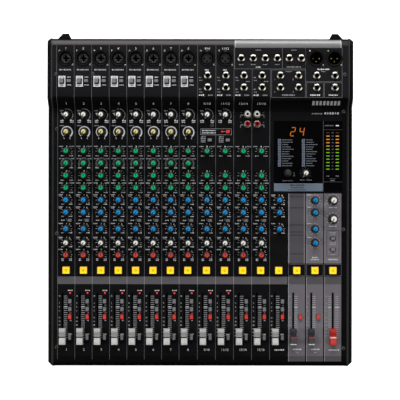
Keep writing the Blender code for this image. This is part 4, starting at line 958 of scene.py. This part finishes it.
def add_key(shell, kind, place, width, length, level=0.0):
    """One switch's cap, with its mark where it is an ON key."""
    if kind == "on":
        rim = rounded(width, length, 0.9, [(0.45, 3.35), (0.25, 3.5), (0, 3.1), (0, -5.8)])
        lens = rounded(width, length, 0.9, [(None, 3.42), (2.4, 3.5), (0.5, 3.6), (0.42, 3.3)])
        shell.add(copies(rim, [place]), 3, True).add(copies(lens, [place]), 2, True)
        shell.add(copies(ring(1.15, 1.6, 3.66, 20, 28), [place]), 4)
        shell.add(copies(block(0.45, 1.7, 3.5, 3.67, 0.1), [(place[0], place[1] + 0.95)]), 4, True)
    else:
        tone = 1 if kind in ("to_stereo", "phantom") else 0
        shell.add(copies(key(width, length, 3.0), [place], level), tone, True)


SWITCHES = {}
for node in frame["nodes"]:
    if node.startswith("button_ch1_"):
        corners = np.array(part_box(node)) * 1000
        middle = corners.mean(axis=0) - 1000 * FOLD
        level = JACK_PLANE if node.endswith(("pad", "low_cut")) else 0.0
        width = corners[1, 0] - corners[0, 0]
        SWITCHES[node[len("button_ch1_"):]] = (middle[0] - STRIPS["ch1"], middle @ UP_SLOPE, width, level)
LENGTHS = {
    "aux_pre": 4.2, "group_1_2": 6.0, "group_3_4": 6.0, "to_stereo": 6.6,
    "listen": 7.0, "on": 10.4, "pad": 6.0, "low_cut": 4.2,
}
ROUTING = ["aux_pre", "on", "group_1_2", "group_3_4", "to_stereo", "listen"]
SWITCHES_ON = {s: ["pad", "low_cut", *ROUTING] for s in MONO}
SWITCHES_ON.update({s: ROUTING for s in STEREO})
SWITCHES_ON["fx_return"] = ROUTING[1:]
SWITCHES_ON["group_1_2"] = SWITCHES_ON["group_3_4"] = ["on", "to_stereo"]
SWITCHES_ON["stereo"] = ["on"]
fixed_keys = Shell()
for s, kinds in SWITCHES_ON.items():
    for kind in kinds:
        offset, v, width, level = SWITCHES[kind]
        shell = Shell() if s == "ch1" else fixed_keys
        add_key(shell, kind, (STRIPS[s] + offset, v), width, LENGTHS[kind], level)
        if s == "ch1":
            node = f"button_ch1_{kind}"
            slot_name = {"on": "lit_yellow_cap", "to_stereo": "red_cap"}.get(kind, "charcoal_cap")
            shell.make(f"key_ch1_{kind}", node, KEYS, slot_name, [node])
for s in STEREO[:2]:
    add_key(fixed_keys, "low_cut", (STRIPS[s] + 4.5, 322.9), 5.8, 4.2)
add_key(fixed_keys, "phantom", (STRIPS["ch11_12"] + 4.7, PHANTOM_ROW), 5.8, 4.8)
for v in MONITOR_ROWS:
    add_key(fixed_keys, "monitor", (STEREO_MIDDLE, v), 6.0, 4.0)
fixed_keys.make("keys", "console", KEYS, "charcoal_cap")

# Peak and phantom lamps: red domes that stand a little above the panel
lamp_red = moulding("lamp_red", (0.62, 0.02, 0.015), 0.25, 0.5, 0.01, 0.6)
lamp_red.put("Emission Color", (1.0, 0.03, 0.02, 1)).put("Emission Strength", 0.25)
lamps = Shell()
dome = turned([(0, 1.25), (0.5, 1.2), (1.0, 0.9), (1.35, 0.4), (1.4, 0.02)], 18)
# The dark collar round each lamp is painted shade in the panel's hole
collar = turned([(1.4, 0.35), (1.75, 0.3), (1.9, 0.02)], 18)
lamp_places = [(STRIPS[s] + 5.9, 98.9) for s in MONO + STEREO[:2]]
lamp_places.append((STRIPS["ch11_12"] - 3.8, PHANTOM_ROW))
lamps.add(copies(dome, lamp_places), 0, True).add(copies(collar, lamp_places), 1, True)
lamps.make("peak_lamps", "console", [lamp_red, black_and_hole_shade], "red_cap")

# ------------------------------------------------------------------------------------------------
# Every knob is a fluted black moulding pushed on its shaft, with a coloured cap let into its top.
# A stripe in the cap's colour runs down its side and shows where it points.

CAP_COLOURS = {
    "white": (0.55, 0.54, 0.50), "yellow": (0.47, 0.40, 0.16), "green": (0.001, 0.260, 0.098),
    "blue": (0.001, 0.178, 0.420), "red": (0.45, 0.034, 0.028), "dark": (0.026, 0.026, 0.028),
}
ROW_COLOURS = {
    "gain": "white", "comp": "yellow", "high": "green", "mid_freq": "green", "mid": "green",
    "low": "green", "aux1": "blue", "aux2": "blue", "aux3": "blue", "fx": "white", "pan": "red",
}
CENTRE_REST = ("high", "mid", "low", "pan")
FULLY_DOWN = 150
knob_black = moulding("knob_black", (0.0075, 0.0075, 0.008), 0.45, 0.6, 0.03, 0.28)
pointer_black = moulding("pointer_black", (0.012, 0.012, 0.012), 0.6, gloss=0.1)
caps = {name: moulding("cap_" + name, colour, 0.5, 0.5, 0.02, 0.10) for name, colour in CAP_COLOURS.items()}
CAP_PROFILE = [(0, 0), (0.30, 0.02), (0.60, -0.02), (0.75, -0.10), (0.815, -0.26), (0.82, -0.60)]


TONES = {"white": 1, "yellow": 2, "green": 3, "blue": 4, "red": 5, "dark": 6}
POINTER = 7
KNOB_FINISHES = [knob_black, *caps.values(), pointer_black]


def add_knob(shell, places, turn, tone, height=15.5, skirt=5.8, crown=4.0):
    """The parts of one kind of knob at each place: cap, engraved pointer, fluted body and stripe."""
    cap = [(crown * r, height + w) for r, w in CAP_PROFILE]
    shoulder = height - 1.5
    body = [
        (0.82 * crown, height - 0.60), (0.88 * crown, height - 0.42), (crown - 0.08, height - 0.62),
        (crown, shoulder), (crown + 0.25, shoulder - 0.15), (crown + 0.42, shoulder - 0.7, 1),
        (crown + 0.65, 8.5, 1), (crown + 0.9, 3.6, 1), (crown + 1.15, 3.1), (skirt - 0.15, 2.55),
        (skirt, 2.25), (skirt, 0.8), (3.1, 0.8),
    ]
    shell.add(copies(turned(cap, 24), places, 0, turn), tone, True)
    shell.add(copies(turned(body, 36, 18, 0.09), places, 0, turn), 0, True)
    engraved = [(-0.5, height + 0.10), (crown * 0.6, height + 0.04), (crown * 0.83, height - 0.15)]
    stripe = [(crown + 0.08, height - 0.7), (crown + 0.5, shoulder - 0.5), (crown + 1.0, 3.7)]
    stripe += [(skirt - 0.1, 2.8), (skirt + 0.1, 2.2), (skirt + 0.12, 0.9)]
    for line, half, colour in ((engraved, 0.62, POINTER), (stripe, 0.46, tone)):
        grid = np.array([[(side, *spot) for side in (half, -half)] for spot in line])
        shell.add(copies(grid, places, 0, turn), colour)


for s, rows in KNOBS_ON.items():
    strip_knobs = Shell()
    for row in rows:
        shell = Shell() if s == "ch1" else strip_knobs
        turn = 0 if row in CENTRE_REST else FULLY_DOWN
        add_knob(shell, [(STRIPS[s] + KNOB_OFFSET, ROWS[row])], turn, TONES[ROW_COLOURS[row]])
        if s == "ch1":
            node = f"knob_ch1_{row}"
            shell.make(f"turning_ch1_{row}", node, KNOB_FINISHES, ROW_COLOURS[row] + "_cap", [node])
    if s != "ch1":
        strip_knobs.make(f"knobs_{s}", "console", KNOB_FINISHES, "white_cap")
EFFECT_KNOBS_ROW, PROGRAM, PARAMETER = 274.6, 128.1, 153.7
SMALL, LARGE = (15.5, 5.8, 4.0), (17.0, 7.2, 5.0)
MASTER_KNOBS = [(f"send_{row}", SEND_MIDDLE, ROWS[row], "blue", SMALL) for row in SENDS[:4]]
MASTER_KNOBS += [
    ("monitor_level", STEREO_MIDDLE, ROWS["aux1"], "white", LARGE),
    ("phones_level", STEREO_MIDDLE, PHONES_ROW, "white", LARGE),
    ("fx_program", PROGRAM, EFFECT_KNOBS_ROW, "dark", SMALL),
    ("fx_parameter", PARAMETER, EFFECT_KNOBS_ROW, "white", SMALL),
]
for name, u, v, colour, size in MASTER_KNOBS:
    shell = Shell()
    add_knob(shell, [(u, v)], FULLY_DOWN, TONES[colour], *size)
    shell.make(f"turning_{name}", f"knob_{name}", KNOB_FINISHES, colour + "_cap", [f"knob_{name}"])

# ------------------------------------------------------------------------------------------------
# Fader caps are two-tone mouldings on a steel lever, ribbed across and dipped at the middle, where
# a line is inlaid. The groups' are charcoal with a red line, and the stereo one is red.

FADER_REST = 35.7
HALF_LENGTH, HALF_WIDTH, CAP_BOTTOM, CAP_TOP, DIP = 11.85, 4.8, 1.2, 11.7, 2.2
TOP_HALF = 3.6  # half the width of the dished top


def fader_grid():
    """A cap as stations up the slope, each an arch. The top line dips at the middle as a power of a
    cosine, with fine ribs on it, and falls away at both ends."""
    ends = [-1.0, -0.995, -0.98, -0.955, -0.93]
    top = np.linspace(-0.90, 0.90, 61)
    t = np.concatenate([ends, top, -np.array(ends[::-1])])
    v = t * HALF_LENGTH
    dip = DIP * np.cos(np.clip(t / 0.86, -1, 1) * pi / 2) ** 2.4
    ribs = 0.16 * np.sin(v * 2 * pi / 1.55) * (np.abs(t) > 0.16) * (np.abs(t) < 0.9)
    crest = CAP_TOP - 0.1 - dip + ribs
    rounding = np.clip((1.0 - np.abs(t)) / 0.075, 0, 1)
    crest = CAP_BOTTOM + (crest - CAP_BOTTOM) * np.sqrt(1 - (1 - rounding) ** 2) ** 0.9
    side = [(HALF_WIDTH, 0.0), (4.78, 0.35), (4.62, 0.75), (4.45, 0.93), (4.15, 0.985), (TOP_HALF, 1.0)]
    u, share = np.concatenate([side, [(0, 1.0)], np.array(side[::-1]) * (-1, 1)]).T
    height = CAP_BOTTOM + (crest - CAP_BOTTOM)[:, None] * share
    hollow = -0.22 * (1 - (u / TOP_HALF) ** 2) * (np.abs(u) <= TOP_HALF)
    height = height + hollow * rounding[:, None]
    taper = 1 - 0.02 * (1 - np.abs(t))[:, None]
    return t, np.stack([u * taper, np.broadcast_to(v[:, None], height.shape), height], axis=-1)


def fader_finish(name, upper, lower, centre):
    """The moulding of one cap: its upper half, its lower half and its inlaid line."""
    tones = (("upper", upper), ("lower", lower), ("line", centre), ("foot", lower))
    return [moulding(f"{name}_{part}", tone, 0.46, 0.5, 0.02, 0.18) for part, tone in tones] + [lever_steel]


lever_steel = plating("lever_steel", (0.35, 0.35, 0.36), 0.35)
channel_caps = fader_finish("fader_grey", (0.265, 0.262, 0.252), (0.38, 0.375, 0.36), (0.010, 0.010, 0.010))
group_caps = fader_finish("fader_charcoal", (0.022, 0.022, 0.026), (0.026, 0.026, 0.030), (0.24, 0.02, 0.018))
stereo_caps = fader_finish("fader_red", (0.33, 0.016, 0.012), (0.38, 0.020, 0.016), (0.50, 0.40, 0.37))
group_caps[3] = moulding("fader_charcoal_tip", (0.42, 0.41, 0.40), 0.5)
t, cap_grid = fader_grid()
BANDS = [
    (-1.01, -0.91, 1), (-0.91, -0.80, 3), (-0.80, -0.10, 1),
    (-0.10, 0.035, 2), (0.035, 0.62, 0), (0.62, 1.01, 1),
]
under = np.array([
    [(u, v, CAP_BOTTOM) for u in (HALF_WIDTH, -HALF_WIDTH)] for v in (HALF_LENGTH, -HALF_LENGTH)
])
for s in CHANNELS + MASTERS:
    u = STRIPS[s] + (0 if s == "stereo" else FADER_OFFSET)
    cap = Shell()
    for low, high, tone in BANDS:
        rows = np.flatnonzero((t >= low) & (t < high))
        rows = np.arange(max(rows[0] - 1, 0) if low > -1 else rows[0], rows[-1] + 1)
        cap.add(cap_grid[rows] + (u, FADER_REST, 0), tone)
    cap.add(under + (u, FADER_REST, 0), 0)
    cap.add(copies(block(1.2, 4.0, -9.0, 1.6, 0.1), [(u, FADER_REST)]), 4, True)
    finishes, slot_name = channel_caps, "grey_cap"
    if s in MASTERS:
        finishes, slot_name = (stereo_caps, "red_cap") if s == "stereo" else (group_caps, "charcoal_cap")
    cap.make(f"cap_{s}", f"fader_{s}", finishes, slot_name, [f"fader_{s}"], 40)

# ------------------------------------------------------------------------------------------------
# The display is a smoked acrylic window over a board of lamps: two amber figures, two lists of
# effects, twin level meters and a white power lamp. A blue-grey label is printed along its foot.

WINDOW_TOP = 0.3
smoke = Finish("smoked_acrylic", (0.0008, 0.0008, 0.0010), 0.06, gloss=0.12)
smoke_dust = smoke.noise(3, 4.0)
smoke.put("Roughness", 0.07 + smoke_dust * 0.06)
smoke.put("Base Color", smoke.blend(smoke_dust, (0.0006, 0.0006, 0.0008), (0.0012, 0.0012, 0.0015)))
glass = frame["nodes"]["display_window"]
glass.data.materials.clear()
glass.data.materials.append(smoke.material)
display = Shell()
AMBER, ORANGE_DIM, LIME, LABEL, GREY_INK, WHITE_LIT, FRAME_GREY, LABEL_DARK, PALE, FIGURE = range(10)


def patches(u, v, width, length, tone, lift=0.02, slant=0.0):
    """Flat marks on the window. A slant leans them, as a share of their height."""
    u, v, width, length = np.broadcast_arrays(*np.atleast_1d(u, v, width, length))
    row, column = np.array([[-0.5, -0.5], [0.5, 0.5]]), np.array([[-0.5, 0.5], [-0.5, 0.5]])
    y = length[:, None, None] * column
    x = width[:, None, None] * row + slant * y
    place = x + u[:, None, None], y + v[:, None, None]
    display.add(np.stack([*place, np.full(x.shape, WINDOW_TOP + lift)], axis=-1), tone)


def words(u, v, width, height, tone, seed=0.0, lift=0.02):
    """A row of small blocks in the place of a word, starting at u."""
    count = max(2, int(width / height / 0.8))
    k = np.arange(count)
    wide = width / count * (0.74 + 0.14 * np.sin(2.3 * k + seed))
    tall = height * (0.85 + 0.15 * np.sin(1.7 * k + seed))
    patches(u + (k + 0.5) * width / count, v, wide, tall, tone, lift)


patches(143.45, 253.95, 71.2, 11.6, LABEL, 0.01)
patches([179.9, 193.9], [299.2, 262.0], [0.8, 27.6], [103.0, 0.6], FRAME_GREY, 0.01)
patches(193.9, 338.2, 27.6, 0.5, FRAME_GREY, 0.01)
words(131.6, 257.0, 21, 3.0, LABEL_DARK, 1)
words(133.0, 253.4, 18, 2.4, LABEL_DARK, 2)
words(129.0, 250.2, 26, 1.9, LABEL_DARK, 3)

# Seven-segment figures two and four, leaning to the right as such figures do
SEGMENTS = {"2": "abged", "4": "fgbc"}
PLACES = {"a": (0, 1, 0), "g": (0, 0, 0), "d": (0, -1, 0)}
PLACES.update({"f": (-1, 0.5, 1), "b": (1, 0.5, 1), "e": (-1, -0.5, 1), "c": (1, -0.5, 1)})
for text, middle in (("2", 135.3), ("4", 148.4)):
    for segment in SEGMENTS[text]:
        side, rise, tall = PLACES[segment]
        size = (1.15, 5.2) if tall else (4.8, 1.05)
        v = 335.2 + rise * 6.1
        patches(middle + side * 2.9 + 0.16 * (v - 334.6), v, *size, FIGURE, 0.02, 0.16)
for left in (113.6, 148.6):
    rows = 323.3 - 3.43 * np.arange(12)
    patches(left + 2.3, rows, 4.4, 2.7, PALE)
    for k, v in enumerate(rows):
        words(left + 0.9, v, 2.6, 1.3, LABEL_DARK, k, 0.03)
        words(left + 6.0, v, 13.0 + 4.0 * sin(1.9 * k + left), 1.5, GREY_INK, k + left)
scale_dots = np.radians(np.arange(-150, 151, 30))
spots = PARAMETER + 7.8 * np.sin(scale_dots), EFFECT_KNOBS_ROW + 7.8 * np.cos(scale_dots)
patches(*spots, 0.7, 0.9, GREY_INK)
words(120.5, 263.6, 15, 1.4, GREY_INK, 1)
words(146.0, 264.6, 6.5, 1.8, GREY_INK, 2)
words(154.6, 264.6, 8.5, 1.8, GREY_INK, 3)
patches(137.2, 274.0, 0.7, 4.4, GREY_INK)
patches(137.2, 270.8, 2.8, 0.6, GREY_INK)
words(182.0, 344.2, 13, 1.6, GREY_INK, 2)
patches(200.4, 344.2, 4.4, 1.6, WHITE_LIT)
METER_ROWS = 333.7 - 4.83 * np.arange(12)
for u in (186.7, 200.4):
    patches(u, METER_ROWS[0], 4.6, 1.0, ORANGE_DIM)
    patches(u, METER_ROWS[1:5], 4.8, 1.35, AMBER)
    patches(u, METER_ROWS[5:], 4.8, 1.3, LIME)
    words(u - 2.6, 270.4, 4.6, 2.0, GREY_INK, u)
for k, v in enumerate(METER_ROWS):
    words(192.2, v, 2.6, 1.4, GREY_INK, k)
patches([193.6, 193.6], [266.4, 263.9], [9, 6], [0.5, 1.2], GREY_INK)


def lit(name, colour, strength):
    """A lamp seen through the window: a coloured patch with its own light, unevenly bright."""
    finish = Finish(name, colour, 0.3, gloss=0.1, Emission_Strength=strength)
    cloud = finish.noise(1.6, 1.0)
    finish.put("Base Color", finish.shades(cloud, colour, 0.03, 0.02))
    return finish.put("Emission Color", finish.shades(cloud, colour, 1, 0.78))


def printed(name, colour):
    """Ink on the window's face, thin in places."""
    finish = Finish(name, colour, 0.5)
    thin = finish.noise(0.9, 3.0)
    finish.put("Base Color", finish.shades(thin, colour, 0.7, 1.2))
    return finish.put("Roughness", 0.4 + thin * 0.2)


display.make(
    "display_marks", "console",
    [lit("amber_lamp", (0.80, 0.33, 0.045), 1.0), lit("dim_lamp", (0.12, 0.035, 0.015), 1.0),
     lit("lime_lamp", (0.20, 0.50, 0.012), 1.0), printed("label_blue", (0.078, 0.104, 0.141)),
     printed("list_grey", (0.075, 0.082, 0.098)), lit("white_lamp", (0.85, 0.88, 1.0), 0.9),
     printed("line_grey", (0.022, 0.022, 0.026)), printed("label_black", (0.008, 0.009, 0.013)),
     printed("list_blue", (0.085, 0.105, 0.140)), lit("figure_lamp", (0.66, 0.18, 0.018), 1.0)],
    "smoked_window",
)

# ------------------------------------------------------------------------------------------------
# The case's pan is folded from black coated steel and stands on four rubber feet. Its rear wall
# carries the mains inlet and the power switch. The lamps' board and the power supply lie inside.

pan_coat = Finish("pan_coat", (0.010, 0.010, 0.0105), 0.45, gloss=0.3)
orange_peel, dust = pan_coat.noise(0.7, 2.0), pan_coat.noise(40, 4.0)
pan_coat.put("Base Color", pan_coat.blend(dust, (0.008, 0.008, 0.0085), (0.016, 0.0155, 0.015)))
pan_coat.put("Roughness", 0.36 + orange_peel * 0.12 + dust * 0.08)
pan_coat.grain(orange_peel, 0.3, 0.05)
refinished("bottom_pan", "case_pan", pan_coat)
refinished("display_board", "lamp_board", laminate)
refinished("power_supply", "supply_box", plating("supply_zinc", (0.45, 0.46, 0.48), 0.4))

WALL = 1000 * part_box("bottom_pan")[1].y
INLET_X, _, INLET_Z = 1000 * np.mean(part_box("mains_inlet"), axis=0)
inlet_finish = Finish("inlet_moulding", (0.010, 0.010, 0.0105), 0.4, gloss=0.4)
beside, above = inlet_finish.along((1, 0, 0)), inlet_finish.along((0, 0, 1))
blades = sum(
    beside.within(x - 1.15, x + 1.15) * above.within(z - 2.15, z + 2.15)
    for x, z in ((INLET_X - 7, INLET_Z - 2), (INLET_X, INLET_Z + 2), (INLET_X + 7, INLET_Z - 2))
) * (inlet_finish.along((0, 1, 0)) > 1000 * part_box("mains_inlet")[1].y - 16.1)
fine = inlet_finish.noise(0.6, 2.0)
plastic = inlet_finish.blend(fine, (0.008, 0.008, 0.0085), (0.013, 0.013, 0.0135))
inlet_finish.put("Base Color", inlet_finish.blend(blades, plastic, (0.66, 0.62, 0.55)))
inlet_finish.put("Metallic", blades)
inlet_finish.put("Roughness", 0.34 + fine * 0.14).grain(fine, 0.2, 0.02)
refinished("mains_inlet", "inlet_body", inlet_finish)
switch_black = moulding("switch_black", (0.009, 0.009, 0.0095), 0.4)
refinished("power_switch_body", "switch_surround", switch_black)
rocker_black = moulding("rocker_black", (0.012, 0.012, 0.0125), 0.3, 0.5, 0.01, 0.5)
refinished("power_rocker", "rocker", rocker_black, 20)

# The marks for on and off are moulded white, one on each of the rocker's two faces
mark_white = moulding("mark_white", (0.62, 0.62, 0.60), 0.5)
faces = frame["nodes"]["power_rocker"].data.polygons
faces = sorted(faces, key=lambda face: -face.area * max(0, face.normal.y))[:2]
for mark, face in zip(("on", "off"), sorted(faces, key=lambda face: -face.center.z)):
    facing, toward = np.array(face.normal), np.array((-1.0, 0, 0))
    basis = np.column_stack([toward, np.cross(facing, toward), facing])
    spot = np.array(face.center)
    shape = block(0.5, 2.8, 0.0, 0.07, 0.1) if mark == "on" else ring(1.1, 1.6, 0.07)
    rocker_mark = Shell().add(shape, 0, mark == "on")
    rocker_mark.make(f"rocker_{mark}", "power_rocker", [mark_white], "white_cap",
                     place=lambda points: points / 1000 @ basis.T + spot)


def underneath(points):
    """World metres from u to the right, v to the front and w down from the floor."""
    return np.asarray(points, float) * (1, -1, -1) / 1000


def on_wall(points):
    """World metres from u to the right as seen from behind, v up and w out of the rear wall."""
    u, v, w = np.moveaxis(np.asarray(points, float), -1, 0)
    return np.stack([-u, WALL + w, v], axis=-1) / 1000


wall_places = [(u, 14.0) for u in (-190, -64, 64, 190)]
wall_screws = Shell().add(copies(turned(screw_head, 20), wall_places, 0.05), 0, True)
for turn in (15, 105):
    wall_screws.add(copies(cross, wall_places, -0.05, turn), 1, True)
wall_screws.make("wall_screws", "console", [black_zinc, black_and_hole_shade], "jack_metal", place=on_wall)
foot_rubber = moulding("foot_rubber", (0.014, 0.014, 0.014), 0.75, 1.2, 0.06, 0.3)
sole = [(0, -2.6), (4.5, -2.6), (4.7, -0.3), (5.0, 0), (8.3, 0), (8.9, -0.2), (9.3, -0.7)]
sole += [(9.75, -2.2), (10, -4.5), (9.9, -4.7)]
for node in [node for node in frame["nodes"] if node.startswith("foot_")]:
    spot = np.mean(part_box(node), axis=0)[:2] * (1000, -1000)
    foot = Shell().add(copies(turned(sole, 48), spot), 0, True)
    foot.add(copies(turned(screw_head, 20), spot, -2.6), 1, True)
    for turn in (20, 110):
        foot.add(copies(cross, spot, -2.7, turn), 2, True)
    finishes = [foot_rubber, black_zinc, black_and_hole_shade]
    foot.make("rubber_" + node, "console", finishes, "foot_rubber", [node], place=underneath)
